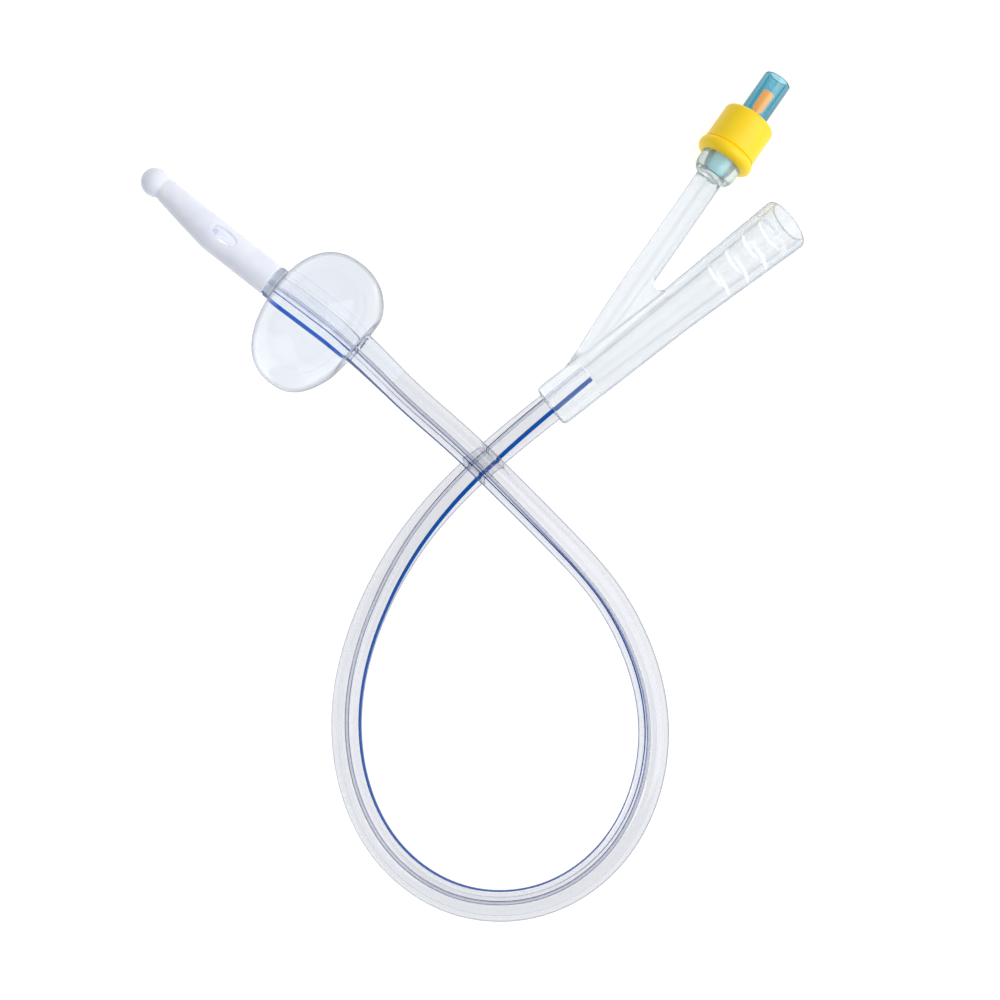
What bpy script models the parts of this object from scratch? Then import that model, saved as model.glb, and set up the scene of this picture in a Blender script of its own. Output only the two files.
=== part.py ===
# Two-way balloon catheter of clear silicone, lying in one loose loop on a table.
# The drainage funnel points along +X, the table top is z = 0 and lengths are in metres.

import math

import bmesh
import bpy
import numpy as np
from mathutils import Matrix, Vector

# Fits: a push fit, a thin bonded or running fit, and how far a cutter runs past a face
CLEARANCE = 0.0003
THIN_GAP = 0.00015
CUT_PAST = 0.0010

# Shaft: extruded tube with a wide drainage lumen and a fine inflation lumen in its wall
SHAFT_OD = 0.0067
DRAIN_LUMEN = 0.0038
DRAIN_SHIFT = 0.00045
INFLATION_LUMEN = 0.0009
INFLATION_DEPTH = 0.0009
STRIPE_WIDTH = 0.0010
STRIPE_DEPTH = 0.00045
STRIPE_TO_INFLATION = math.radians(63)
STRIPE_AT_TIP = math.radians(92)
STRIPE_AT_FUNNEL = math.radians(11.5)
TWIST_START = 0.190
PORT_DIAMETER = 0.0007

# Tip: white moulding with a ball nose, flared on one side only, and two opposite eyes
TIP_OD = 0.0072
TIP_NECK = 0.0051
NOSE_OD = 0.0060
TIP_CYLINDER = 0.0153
TIP_TAPER = 0.0132
NOSE_AT = 0.0312
EYE_AT = 0.0129
EYE_LENGTH = 0.0060
EYE_WIDTH = 0.0029
EYE_DISH = 0.0004
EYE_TURN = math.radians(-20)

# Balloon: thin sleeve bonded by a cuff at each end, and a little lopsided when full
BALLOON_OD = 0.0317
BALLOON_LENGTH = 0.0220
BALLOON_WALL = 0.0004
BALLOON_SQUARENESS = 2.3
BALLOON_LOPSIDED = 0.0015
CUFF_WALL = 0.0003
FRONT_CUFF = 0.0014
REAR_CUFF = 0.0095
BALLOON_AT = CLEARANCE + FRONT_CUFF + BALLOON_LENGTH / 2

# Funnel: one moulding with a sleeve for the shaft, a stepped drainage bore and a side arm
SLEEVE_OD = 0.0100
FLARE_AT = 0.0340
SHAFT_INSERTION = 0.0105
FUNNEL_LENGTH = 0.0657
FUNNEL_OD = 0.0121
FUNNEL_ROUNDING = 0.0007
BORE_START = 0.0042
BORE_END = 0.0061
BORE_STEPS = ((0.0202, 0.0067), (0.0151, 0.0073), (0.0103, 0.0080), (0.0051, 0.0094))
BORE_DRAFT = 0.0002
ARM_ANGLE = math.radians(17.3)
ARM_OD = 0.0061
ARM_ROOT_OD = 0.0048
ARM_ROOT_AT = 0.0130
ARM_FULL_AT = 0.0350
ARM_LUMEN = 0.0022
ARM_LUMEN_SHIFT = 0.0005
LUMEN_START = 0.0075
CROTCH_AT = 0.0351
WEB_THICKNESS = 0.0044
BULB_OD = 0.0095
BULB_BELOW_VALVE = 0.0009
BULB_SHOULDER = 0.0026

# Colour ring: moulded cap with a bead, pushed over the bulb to hold the valve
RING_AT = 0.0653
RING_OD = 0.0120
RING_LENGTH = 0.0113
RING_TOP = 0.0010
RING_ROUNDING = 0.0010
BEAD_OD = 0.0131
BEAD_LENGTH = 0.0030

# Valve: clear housing with a syringe bore, a seat and a spring-closed plunger
VALVE_OD = 0.0064
VALVE_REACH = 0.0103
VALVE_LENGTH = 0.0250
VALVE_ROUNDING = 0.00025
SOCKET_CONE = 0.0010
BARBS_AT = (0.0022, 0.0052)
BARB_LENGTH = 0.0010
BARB_RISE = 0.0002
SYRINGE_BORE = 0.0043
SYRINGE_DEPTH = 0.0094
SYRINGE_TAPER = 0.06
SEAT_HOLE = 0.0030
SEAT_THICKNESS = 0.0010
CHAMBER_BORE = 0.0046
HEAD_OD = 0.0025
HEAD_LENGTH = 0.0042
HEAD_BELOW_MOUTH = 0.0037
HEAD_CONE = 0.0008
NECK_OD = 0.0015
TAIL_OD = 0.0012
TAIL_IN_PLUG = 0.000925
DISC_OD = 0.0038
DISC_THICKNESS = 0.0010
PLUNGER_CHAMFER = 0.0002
SEAL_OD = 0.0040
SEAL_THICKNESS = 0.0008
PLUG_BORE = 0.0020
PLUG_NOSE_OD = 0.0034
PLUG_NOSE_LENGTH = 0.0008
SPRING_WIRE = 0.00035
SPRING_OD = 0.0036
SPRING_TURNS = 4.5
SPRING_ROOM = 0.004675

# Places in the lying pose: the funnel end of the shaft, and the tube's heights
SHOULDER = Vector((0.004, 0.0, BEAD_OD / 2))
CROSSING_GAP = 0.0003
CROSSING_RISE = 0.0017
ON_TABLE = SHAFT_OD / 2
UNDER = ON_TABLE + CROSSING_RISE
OVER = UNDER + SHAFT_OD + CROSSING_GAP
BALLOON_HEIGHT = BALLOON_OD / 2
TIP_RISE = 0.0010
REAR_DROP = 0.0008

# Facets: sides round a turned piece, sides round the tube, and stations along it
SIDES = 28
TUBE_SIDES = 14
LOOP_START = 0.095
LOOP_END = 0.290
STRAIGHT_STEP = 0.0073
LOOP_STEP = 0.0060


def between(low, high, share):
    return low + (high - low) * share


# The tube's centreline as it lies, from the tip's joint to its end inside the funnel
ROUTE = (
    (-0.0266, 0.0566, BALLOON_HEIGHT + TIP_RISE),
    (-0.0239, 0.0461, BALLOON_HEIGHT + between(TIP_RISE, -REAR_DROP, 0.5)),
    (-0.0212, 0.0356, BALLOON_HEIGHT - REAR_DROP),
    (-0.0190, 0.0210, between(OVER, BALLOON_HEIGHT, 0.50)),
    (-0.0163, 0.0066, between(OVER, BALLOON_HEIGHT, 0.18)),
    (-0.0143, -0.0069, between(ON_TABLE, OVER, 0.945)),
    (-0.0122, -0.0240, between(ON_TABLE, OVER, 0.72)),
    (-0.0113, -0.0395, between(ON_TABLE, OVER, 0.46)),
    (-0.0140, -0.0550, between(ON_TABLE, OVER, 0.22)),
    (-0.0201, -0.0681, between(ON_TABLE, OVER, 0.06)),
    (-0.0294, -0.0782, ON_TABLE),
    (-0.0452, -0.0858, ON_TABLE),
    (-0.0640, -0.0845, ON_TABLE),
    (-0.0784, -0.0733, ON_TABLE),
    (-0.0842, -0.0554, ON_TABLE),
    (-0.0806, -0.0382, ON_TABLE),
    (-0.0705, -0.0233, ON_TABLE),
    (-0.0532, -0.0106, ON_TABLE),
    (-0.0387, -0.0046, between(ON_TABLE, UNDER, 0.10)),
    (-0.0260, -0.0017, between(ON_TABLE, UNDER, 0.42)),
    (-0.0130, -0.0004, between(UNDER, SHOULDER.z, 0.15)),
    (SHOULDER.x, SHOULDER.y, SHOULDER.z),
    (SHOULDER.x + SHAFT_INSERTION, SHOULDER.y, SHOULDER.z),
)


def clear_scene():
    for item in list(bpy.data.objects):
        bpy.data.objects.remove(item, do_unlink=True)


def finish(name, colour, roughness, alpha=1.0, metallic=0.0):
    """A Principled material from a base colour, a roughness, an opacity and a metallic value."""
    made = bpy.data.materials.new(name)
    made.use_nodes = True
    shader = made.node_tree.nodes["Principled BSDF"]
    shader.inputs["Base Color"].default_value = (*colour, 1.0)
    shader.inputs["Roughness"].default_value = roughness
    shader.inputs["Metallic"].default_value = metallic
    shader.inputs["Alpha"].default_value = alpha
    made.diffuse_color = (*colour, alpha)
    return made


def add_piece(name, bm, material, parent=None):
    """Turn a bmesh into a named object with its faces pointing out and round faces shaded smooth."""
    bmesh.ops.remove_doubles(bm, verts=bm.verts, dist=1e-7)
    bmesh.ops.recalc_face_normals(bm, faces=bm.faces)
    mesh = bpy.data.meshes.new(name)
    bm.to_mesh(mesh)
    bm.free()
    mesh.shade_smooth()
    mesh.set_sharp_from_angle(angle=math.radians(35))
    mesh.materials.append(material)
    piece = bpy.data.objects.new(name, mesh)
    bpy.context.collection.objects.link(piece)
    piece.parent = parent
    return piece


def add_axis(name, place, direction):
    """An empty whose local Z points along direction, for the pieces that share that axis."""
    axis = bpy.data.objects.new(name, None)
    axis.matrix_world = Matrix.Translation(place) @ direction.to_track_quat("Z", "Y").to_matrix().to_4x4()
    bpy.context.collection.objects.link(axis)
    return axis


def as_cutter(piece):
    piece.hide_render = True
    piece.display_type = "WIRE"
    return piece


def combine(piece, tool, operation="DIFFERENCE"):
    """Join a hidden tool to the piece, or cut it away, with a live Boolean modifier."""
    step = piece.modifiers.new(tool.name, "BOOLEAN")
    step.object = as_cutter(tool)
    step.operation = operation
    step.solver = "EXACT"


def arc(radius_place, height, radius, start, end, steps=4):
    """Points of a round corner in a turned outline, as (radius, height) pairs."""
    angles = [math.radians(between(start, end, i / steps)) for i in range(steps + 1)]
    return [(radius_place + radius * math.cos(a), height + radius * math.sin(a)) for a in angles]


def turned(name, outline, material, parent=None, sides=SIDES):
    """Spin a closed (radius, height) outline about local Z into a solid."""
    bm = bmesh.new()
    corners = [bm.verts.new((radius, 0.0, height)) for radius, height in outline]
    on_axis = outline[0][0] == 0.0 and outline[-1][0] == 0.0
    ends = corners[1:] if on_axis else corners[1:] + corners[:1]
    edges = [bm.edges.new(pair) for pair in zip(corners, ends)]
    bmesh.ops.spin(
        bm,
        geom=corners + edges,
        cent=(0.0, 0.0, 0.0),
        axis=(0.0, 0.0, 1.0),
        angle=math.tau,
        steps=sides,
        use_merge=True,
    )
    bmesh.ops.remove_doubles(bm, verts=bm.verts, dist=1e-6)
    return add_piece(name, bm, material, parent)


def skin(bm, rings):
    """Bridge equal rings of points with quads and return the bmesh vertices of each ring."""
    loops = [[bm.verts.new(point) for point in ring] for ring in rings]
    for near, far in zip(loops, loops[1:]):
        for i in range(len(near)):
            j = (i + 1) % len(near)
            bm.faces.new((near[i], near[j], far[j], far[i]))
    return loops


def cap(bm, loops, facing):
    """Close a flat end whose outline and holes are the given loops of vertices."""
    edges = [bm.edges.get((loop[i], loop[i - 1])) for loop in loops for i in range(len(loop))]
    bmesh.ops.triangle_fill(bm, use_beauty=True, edges=edges, normal=facing)


def smooth_curve(points, steps=40):
    """Fine points along the natural cubic spline through the route's own points."""
    knots = np.array(points, dtype=float)
    span = np.linalg.norm(np.diff(knots, axis=0), axis=1)
    last = len(knots) - 1
    system = np.eye(last + 1)
    right = np.zeros((last + 1, 3))
    for i in range(1, last):
        system[i, i - 1 : i + 2] = span[i - 1], 2 * (span[i - 1] + span[i]), span[i]
        right[i] = 6 * ((knots[i + 1] - knots[i]) / span[i] - (knots[i] - knots[i - 1]) / span[i - 1])
    bend = np.linalg.solve(system, right)
    fine = []
    for i in range(last):
        for share in np.arange(steps) / steps:
            done = share * span[i]
            left = span[i] - done
            cubic = (bend[i] * left**3 + bend[i + 1] * done**3) / (6 * span[i])
            line = knots[i] / span[i] - bend[i] * span[i] / 6
            next_line = knots[i + 1] / span[i] - bend[i + 1] * span[i] / 6
            fine.append(cubic + line * left + next_line * done)
    fine.append(knots[-1])
    return np.array(fine)


CURVE = smooth_curve(ROUTE)
CURVE_DISTANCE = np.concatenate(([0.0], np.cumsum(np.linalg.norm(np.diff(CURVE, axis=0), axis=1))))
SHAFT_LENGTH = float(CURVE_DISTANCE[-1])


def on_route(distance):
    return Vector([float(np.interp(distance, CURVE_DISTANCE, CURVE[:, k])) for k in range(3)])


def route_frame(distance):
    """Place, direction, upward and inward normals of the tube at a distance from the tip."""
    reach = 0.0005
    ahead = on_route(min(distance + reach, SHAFT_LENGTH))
    behind = on_route(max(distance - reach, 0.0))
    along = (ahead - behind).normalized()
    inward = along.cross(Vector((0.0, 0.0, 1.0))).normalized()
    return on_route(distance), along, inward.cross(along), inward


def stripe_angle(distance):
    """The extrusion's twist: the stripe's angle from the top, towards the loop's inside."""
    share = (distance - TWIST_START) / (SHAFT_LENGTH - TWIST_START)
    return between(STRIPE_AT_TIP, STRIPE_AT_FUNNEL, min(max(share, 0.0), 1.0))


def place_section(distance, section):
    """Put the points of a cross-section, given from the stripe's direction, on the route."""
    place, _, up, inward = route_frame(distance)
    turn = stripe_angle(distance)
    to_stripe = up * math.cos(turn) + inward * math.sin(turn)
    across = inward * math.cos(turn) - up * math.sin(turn)
    return [place + to_stripe * a + across * b for a, b in section]


def circle(radius, sides, centre=(0.0, 0.0)):
    angles = [math.tau * i / sides for i in range(sides)]
    return [(centre[0] + radius * math.cos(a), centre[1] + radius * math.sin(a)) for a in angles]


def polar(radius, angle):
    return (radius * math.cos(angle), radius * math.sin(angle))


def stripe_section(width, depth, top):
    """The stripe's or its groove's outline: a round top at the given radius and a flat floor."""
    half = width / 2
    rise = math.sqrt(top**2 - half**2)
    floor = top - depth
    return [(rise, half), (floor, half), (floor, -half), (rise, -half)]


def shaft_outline():
    """The tube's outer outline, round with a shallow groove for the stripe at angle zero."""
    groove = stripe_section(STRIPE_WIDTH + 2 * THIN_GAP, STRIPE_DEPTH + THIN_GAP, SHAFT_OD / 2)
    edge = math.atan2(groove[0][1], groove[0][0])
    turns = [between(edge, math.tau - edge, i / TUBE_SIDES) for i in range(1, TUBE_SIDES)]
    return groove[::-1] + [polar(SHAFT_OD / 2, a) for a in turns]


INFLATION_CENTRE = polar(SHAFT_OD / 2 - INFLATION_DEPTH, -STRIPE_TO_INFLATION)
DRAIN_CENTRE = polar(DRAIN_SHIFT, math.pi - STRIPE_TO_INFLATION)


def stations():
    """Distances of the tube's sections, closer together round the loop."""
    found = [0.0]
    for start, end, step in (
        (0.0, LOOP_START, STRAIGHT_STEP),
        (LOOP_START, LOOP_END, LOOP_STEP),
        (LOOP_END, SHAFT_LENGTH, STRAIGHT_STEP),
    ):
        count = math.ceil((end - start) / step)
        found += [between(start, end, i / count) for i in range(1, count + 1)]
    return found


def add_port(name, distance):
    """Cutter for a hole from the inflation lumen out through the tube's side."""
    start = place_section(distance, [INFLATION_CENTRE])[0]
    place, _, _, _ = route_frame(distance)
    outward = (start - place).normalized()
    parent = add_axis(name + "_axis", start, outward)
    reach = 2 * INFLATION_DEPTH
    outline = [(0.0, 0.0), (PORT_DIAMETER / 2, 0.0), (PORT_DIAMETER / 2, reach), (0.0, reach)]
    return turned(name, outline, None, parent, sides=8)


def build_shaft(material):
    bm = bmesh.new()
    outer = shaft_outline()
    drain = circle(DRAIN_LUMEN / 2, 10, DRAIN_CENTRE)
    inflation = circle(INFLATION_LUMEN / 2, 6, INFLATION_CENTRE)
    walls = []
    for outline in (outer, drain, inflation):
        walls.append(skin(bm, [place_section(s, outline) for s in stations()]))
    cap(bm, [wall[0] for wall in walls], -route_frame(0.0)[1])
    cap(bm, [wall[-1] for wall in walls], route_frame(SHAFT_LENGTH)[1])
    shaft = add_piece("shaft", bm, material)
    combine(shaft, add_port("balloon_port", BALLOON_AT))
    combine(shaft, add_port("arm_port", SHAFT_LENGTH - SHAFT_INSERTION / 2))
    return shaft


def build_stripe(material):
    bm = bmesh.new()
    crown = [(SHAFT_OD / 2, 0.0)]
    outline = stripe_section(STRIPE_WIDTH, STRIPE_DEPTH, SHAFT_OD / 2) + crown
    loops = skin(bm, [place_section(s, outline) for s in stations()])
    cap(bm, loops[:1], -route_frame(0.0)[1])
    cap(bm, loops[-1:], route_frame(SHAFT_LENGTH)[1])
    return add_piece("xray_stripe", bm, material)


def tip_rings():
    """Radius and sideways shift of the tip along its axis, from its joint to its nose."""
    body, neck, nose = TIP_OD / 2, TIP_NECK / 2, NOSE_OD / 2
    rings = [(THIN_GAP, body, 0.0)]
    for share in (0.0, 0.04, 0.12, 0.3, 0.6, 0.9, 1.0):
        slope = share**1.12
        rings.append((TIP_CYLINDER + TIP_TAPER * share, between(body, neck, slope), (body - neck) * slope))
    for angle in (130, 115, 95, 75, 55, 35, 17):
        turn = math.radians(angle)
        rings.append((NOSE_AT + nose * math.cos(turn), nose * math.sin(turn), body - neck))
    return rings


def build_tip(material):
    """The tip's local Z runs from the joint to the nose, and local X is the straight side."""
    place, along, up, inward = route_frame(0.0)
    axis = add_axis("tip_axis", place, -along)
    back = axis.matrix_world.to_3x3().inverted()
    outward = (back @ -inward).normalized()
    upward = (back @ up).normalized()
    sides = 24
    bm = bmesh.new()
    rings = []
    for height, radius, shift in tip_rings():
        centre = outward * shift + Vector((0.0, 0.0, height))
        ring = [centre + outward * a + upward * b for a, b in circle(radius, sides)]
        rings.append(ring)
    loops = skin(bm, rings)
    bm.faces.new(loops[0])
    pole = bm.verts.new(outward * (TIP_OD - TIP_NECK) / 2 + Vector((0.0, 0.0, NOSE_AT + NOSE_OD / 2)))
    for i in range(sides):
        bm.faces.new((loops[-1][i - 1], loops[-1][i], pole))
    tip = add_piece("tip", bm, material, axis)

    lumen_end = EYE_AT + EYE_LENGTH / 2
    dome = arc(0.0, lumen_end, DRAIN_LUMEN / 2, 0, 90, 4)
    bore = [(0.0, -CUT_PAST), (DRAIN_LUMEN / 2, -CUT_PAST)] + dome[:-1] + [(0.0, dome[-1][1])]
    lumen = turned("tip_lumen", bore, None, axis, sides=12)
    lumen.location = back @ (place_section(0.0, [DRAIN_CENTRE])[0] - place)
    combine(tip, lumen)

    eye_axis = upward * math.cos(EYE_TURN) - outward * math.sin(EYE_TURN)
    combine(tip, build_eyes(axis, eye_axis))
    return tip


def build_eyes(axis, eye_axis):
    """Cutter for both eyes: an oval slot right through, dished where it leaves the surface."""
    side = Vector((0.0, 0.0, 1.0)).cross(eye_axis)
    bm = bmesh.new()
    rings = []
    half = (EYE_LENGTH - EYE_WIDTH) / 2
    dished = EYE_WIDTH / 2 + 2 * EYE_DISH
    surface = TIP_OD / 2
    sides = 16
    for depth, radius in (
        (-surface - EYE_DISH, dished),
        (-surface + 2 * EYE_DISH, EYE_WIDTH / 2),
        (surface - 2 * EYE_DISH, EYE_WIDTH / 2),
        (surface + EYE_DISH, dished),
    ):
        ring = []
        for i in range(sides):
            turn = math.tau * (i + 0.5) / sides
            along = math.copysign(half, math.cos(turn)) + radius * math.cos(turn)
            spot = Vector((0.0, 0.0, EYE_AT + along)) + side * (radius * math.sin(turn))
            ring.append(spot + eye_axis * depth)
        rings.append(ring)
    loops = skin(bm, rings)
    bm.faces.new(loops[0])
    bm.faces.new(loops[-1])
    return add_piece("eyes", bm, None, axis)


def balloon_profile(shrink, steps):
    """Distance and radius of the full balloon's wall, between its two cuffs."""
    radius = BALLOON_OD / 2 - shrink
    half = BALLOON_LENGTH / 2 - shrink
    cuff = SHAFT_OD / 2 + THIN_GAP + CUFF_WALL - shrink * CUFF_WALL / BALLOON_WALL
    power = 2 / BALLOON_SQUARENESS
    start = math.asin((cuff / radius) ** (1 / power))
    points = []
    for i in range(steps + 1):
        turn = between(start, math.pi - start, i / steps)
        along = math.copysign(abs(math.cos(turn)) ** power, -math.cos(turn))
        points.append((BALLOON_AT + half * along, radius * math.sin(turn) ** power))
    return points


def build_balloon(material):
    inside = SHAFT_OD / 2 + THIN_GAP
    outside = inside + CUFF_WALL
    front = BALLOON_AT - BALLOON_LENGTH / 2 - FRONT_CUFF
    rear = BALLOON_AT + BALLOON_LENGTH / 2 + REAR_CUFF
    middle = between(rear - REAR_CUFF, rear, 0.5)
    outline = [(front, inside), (front, outside)] + balloon_profile(0.0, 14)
    outline += [(middle, outside), (rear, between(inside, outside, 0.4)), (rear, inside)]
    outline += [(middle, inside)] + balloon_profile(BALLOON_WALL, 10)[::-1]
    rings = []
    for distance, radius in outline:
        place, _, up, inward = route_frame(distance)
        full = max(radius - outside, 0.0) / (BALLOON_OD / 2 - outside)
        centre = place + inward * (BALLOON_LOPSIDED * full)
        rings.append([centre + up * a + inward * b for a, b in circle(radius, SIDES)])
    bm = bmesh.new()
    skin(bm, rings + rings[:1])
    return add_piece("balloon", bm, material)


def funnel_outline():
    """Outer outline of the sleeve and drainage funnel, with round ends, closed on the axis."""
    sleeve, mouth = SLEEVE_OD / 2, FUNNEL_OD / 2
    round_back = arc(sleeve - FUNNEL_ROUNDING, FUNNEL_ROUNDING, FUNNEL_ROUNDING, -90, 0, 3)
    round_front = arc(mouth - FUNNEL_ROUNDING, FUNNEL_LENGTH - FUNNEL_ROUNDING, FUNNEL_ROUNDING, 0, 90, 3)
    return [(0.0, 0.0)] + round_back + [(sleeve, FLARE_AT)] + round_front + [(0.0, FUNNEL_LENGTH)]


def funnel_bore():
    """Cutter outline: the shaft's socket, the tapered bore and the steps, placed from the mouth."""
    socket = SHAFT_OD / 2 + CLEARANCE
    socket_end = SHAFT_INSERTION + CLEARANCE
    outline = [(0.0, -CUT_PAST), (socket, -CUT_PAST), (socket, socket_end), (BORE_START / 2, socket_end)]
    before = BORE_END / 2
    starts = [FUNNEL_LENGTH - depth for depth, _ in BORE_STEPS]
    ends = starts[1:] + [FUNNEL_LENGTH + CUT_PAST]
    for (_, width), start, end in zip(BORE_STEPS, starts, ends):
        outline += [(before, start), (width / 2, start)]
        before = width / 2 + BORE_DRAFT / 2
        last = (before, end)
    return outline + [last, (0.0, last[1])]


def arm_outline():
    """Outer outline of the side arm: a slender root, the arm and the bulb that grips the valve."""
    root, arm, bulb = ARM_ROOT_OD / 2, ARM_OD / 2, BULB_OD / 2
    start = SLEEVE_OD / 2 - root / 2
    flare = HOUSING_END - BULB_BELOW_VALVE
    end = RING_AT + RING_LENGTH - RING_TOP - CLEARANCE
    outline = [(0.0, start), (root, start)]
    for i in range(5):
        turn = math.pi / 2 * i / 4
        outline.append((between(root, arm, math.sin(turn)), between(ARM_ROOT_AT, ARM_FULL_AT, i / 4)))
    for i in range(6):
        turn = math.pi / 2 * i / 5
        outline.append((between(arm, bulb, math.sin(turn)), flare + BULB_SHOULDER * (1 - math.cos(turn))))
    return outline + [(bulb, end), (0.0, end)]


def arm_bore():
    """Cutter outline for the socket that holds the valve housing inside the bulb."""
    lumen = ARM_LUMEN / 2
    socket = VALVE_OD / 2 + BARB_RISE + THIN_GAP
    floor = HOUSING_END - CLEARANCE
    end = RING_AT + RING_LENGTH
    cone = floor - SOCKET_CONE
    return [(0.0, cone), (lumen, cone), (socket, floor), (socket, end), (0.0, end)]


def build_web():
    """The web that fills the fork between funnel and arm, ending in a round crotch."""
    share = max(CROTCH_AT - FLARE_AT, 0.0) / (FUNNEL_LENGTH - FLARE_AT)
    funnel = between(SLEEVE_OD, FUNNEL_OD, share) / 2
    fork = CROTCH_AT * math.sin(ARM_ANGLE) - funnel * math.cos(ARM_ANGLE) - ARM_OD / 2
    radius = fork / (1 + math.cos(ARM_ANGLE))
    centre = Vector((CROTCH_AT, funnel + radius, 0.0))
    points = [Vector((ARM_ROOT_AT, 0.0, 0.0)), Vector((CROTCH_AT, 0.0, 0.0))]
    for i in range(9):
        turn = between(-math.pi / 2, ARM_ANGLE - math.pi * 1.5, i / 8)
        points.append(centre + Vector((math.cos(turn), math.sin(turn), 0.0)) * radius)
    points.append(Vector((CROTCH_AT, CROTCH_AT * math.tan(ARM_ANGLE), 0.0)))
    points.append(Vector((ARM_ROOT_AT, ARM_ROOT_AT * math.tan(ARM_ANGLE), 0.0)))
    bm = bmesh.new()
    floor = [point - Vector((0.0, 0.0, WEB_THICKNESS / 2)) for point in points]
    roof = [point + Vector((0.0, 0.0, WEB_THICKNESS / 2)) for point in points]
    loops = skin(bm, [floor, roof])
    bm.faces.new(loops[0])
    bm.faces.new(loops[1])
    web = add_piece("web", bm, None)
    web.location = SHOULDER
    return web


def build_funnel(material, funnel_axis, arm_axis):
    funnel = turned("y_funnel", funnel_outline(), material, funnel_axis, sides=32)
    combine(funnel, turned("arm", arm_outline(), None, arm_axis, sides=24), "UNION")
    combine(funnel, build_web(), "UNION")
    combine(funnel, turned("funnel_bore", funnel_bore(), None, funnel_axis, sides=24))
    combine(funnel, turned("valve_socket", arm_bore(), None, arm_axis, sides=24))
    radius = ARM_LUMEN / 2
    lumen = [(0.0, LUMEN_START), (radius, LUMEN_START), (radius, HOUSING_END), (0.0, HOUSING_END)]
    arm_lumen = turned("arm_lumen", lumen, None, arm_axis, sides=10)
    to_crotch = Vector((math.sin(ARM_ANGLE), -math.cos(ARM_ANGLE), 0.0))
    arm_lumen.location = arm_axis.matrix_world.to_3x3().inverted() @ to_crotch * ARM_LUMEN_SHIFT
    combine(funnel, arm_lumen)
    return funnel


def build_ring(material, arm_axis):
    """Profile of the colour ring: bead, barrel, rounded shoulder and the web round the valve."""
    outer, bead = RING_OD / 2, BEAD_OD / 2
    inner = BULB_OD / 2 + THIN_GAP
    hole = VALVE_OD / 2 + THIN_GAP
    top = RING_AT + RING_LENGTH
    half_bead = BEAD_LENGTH / 2
    outline = [(inner, RING_AT)]
    outline += arc(bead - half_bead, RING_AT + half_bead, half_bead, -90, 70, 5)
    outline += [(outer, RING_AT + BEAD_LENGTH)]
    outline += arc(outer - RING_ROUNDING, top - RING_ROUNDING, RING_ROUNDING, 0, 90, 3)
    outline += [(hole, top), (hole, top - RING_TOP), (inner, top - RING_TOP)]
    return turned("colour_ring", outline, material, arm_axis)


MOUTH = RING_AT + RING_LENGTH + VALVE_REACH
SEAT_TOP = MOUTH - SYRINGE_DEPTH
SEAT_FLOOR = SEAT_TOP - SEAT_THICKNESS
HOUSING_END = MOUTH - VALVE_LENGTH
SEAL_TOP = SEAT_FLOOR - THIN_GAP
DISC_TOP = SEAL_TOP - SEAL_THICKNESS - THIN_GAP / 2
DISC_FLOOR = DISC_TOP - DISC_THICKNESS
PLUG_TOP = DISC_FLOOR - SPRING_ROOM


def build_housing(material, arm_axis):
    """Clear tube with a tapered syringe bore, a seat web, a chamber and two soft barbs."""
    outer, barb = VALVE_OD / 2, VALVE_OD / 2 + BARB_RISE
    bore_end = SYRINGE_BORE / 2 - SYRINGE_TAPER * SYRINGE_DEPTH / 2
    rim = VALVE_ROUNDING
    outline = [(CHAMBER_BORE / 2, HOUSING_END), (outer - rim, HOUSING_END), (outer, HOUSING_END + rim)]
    for reach in BARBS_AT:
        start = HOUSING_END + reach
        outline += [(outer, start), (barb, start + BARB_LENGTH), (outer, start + BARB_LENGTH + BARB_RISE)]
    outline += [(outer, MOUTH - rim), (outer - rim, MOUTH), (SYRINGE_BORE / 2, MOUTH)]
    outline += [(bore_end, SEAT_TOP), (SEAT_HOLE / 2, SEAT_TOP), (SEAT_HOLE / 2, SEAT_FLOOR)]
    outline += [(CHAMBER_BORE / 2, SEAT_FLOOR)]
    return turned("valve_housing", outline, material, arm_axis, sides=20)


def build_plunger(material, parent):
    head, neck, disc, tail = HEAD_OD / 2, NECK_OD / 2, DISC_OD / 2, TAIL_OD / 2
    top = MOUTH - HEAD_BELOW_MOUTH
    end = PLUG_TOP - TAIL_IN_PLUG
    soft = PLUNGER_CHAMFER
    outline = [(0.0, end), (tail - soft, end), (tail, end + soft), (tail, DISC_FLOOR), (disc, DISC_FLOOR)]
    outline += [(disc, DISC_TOP), (neck, DISC_TOP), (neck, top - HEAD_LENGTH - HEAD_CONE)]
    outline += [(head, top - HEAD_LENGTH), (head, top - soft), (head - soft, top), (0.0, top)]
    return turned("valve_plunger", outline, material, parent, sides=16)


def build_seal(material, parent):
    """Soft washer on the plunger's neck that closes against the seat."""
    outer, hole = SEAL_OD / 2, NECK_OD / 2 + THIN_GAP
    soft = PLUNGER_CHAMFER
    outline = [(hole, SEAL_TOP - SEAL_THICKNESS), (outer, SEAL_TOP - SEAL_THICKNESS)]
    outline += [(outer, SEAL_TOP - soft), (outer - soft, SEAL_TOP), (hole, SEAL_TOP)]
    return turned("valve_seal", outline, material, parent, sides=16)


def build_plug(material, arm_axis):
    """Pierced plug pressed into the housing's lower end, which the spring stands on."""
    outer, bore, nose = CHAMBER_BORE / 2 - THIN_GAP, PLUG_BORE / 2, PLUG_NOSE_OD / 2
    outline = [(bore, HOUSING_END), (nose, HOUSING_END), (outer, HOUSING_END + PLUG_NOSE_LENGTH)]
    outline += [(outer, PLUG_TOP), (bore, PLUG_TOP)]
    return turned("valve_plug", outline, material, arm_axis, sides=16)


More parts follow.
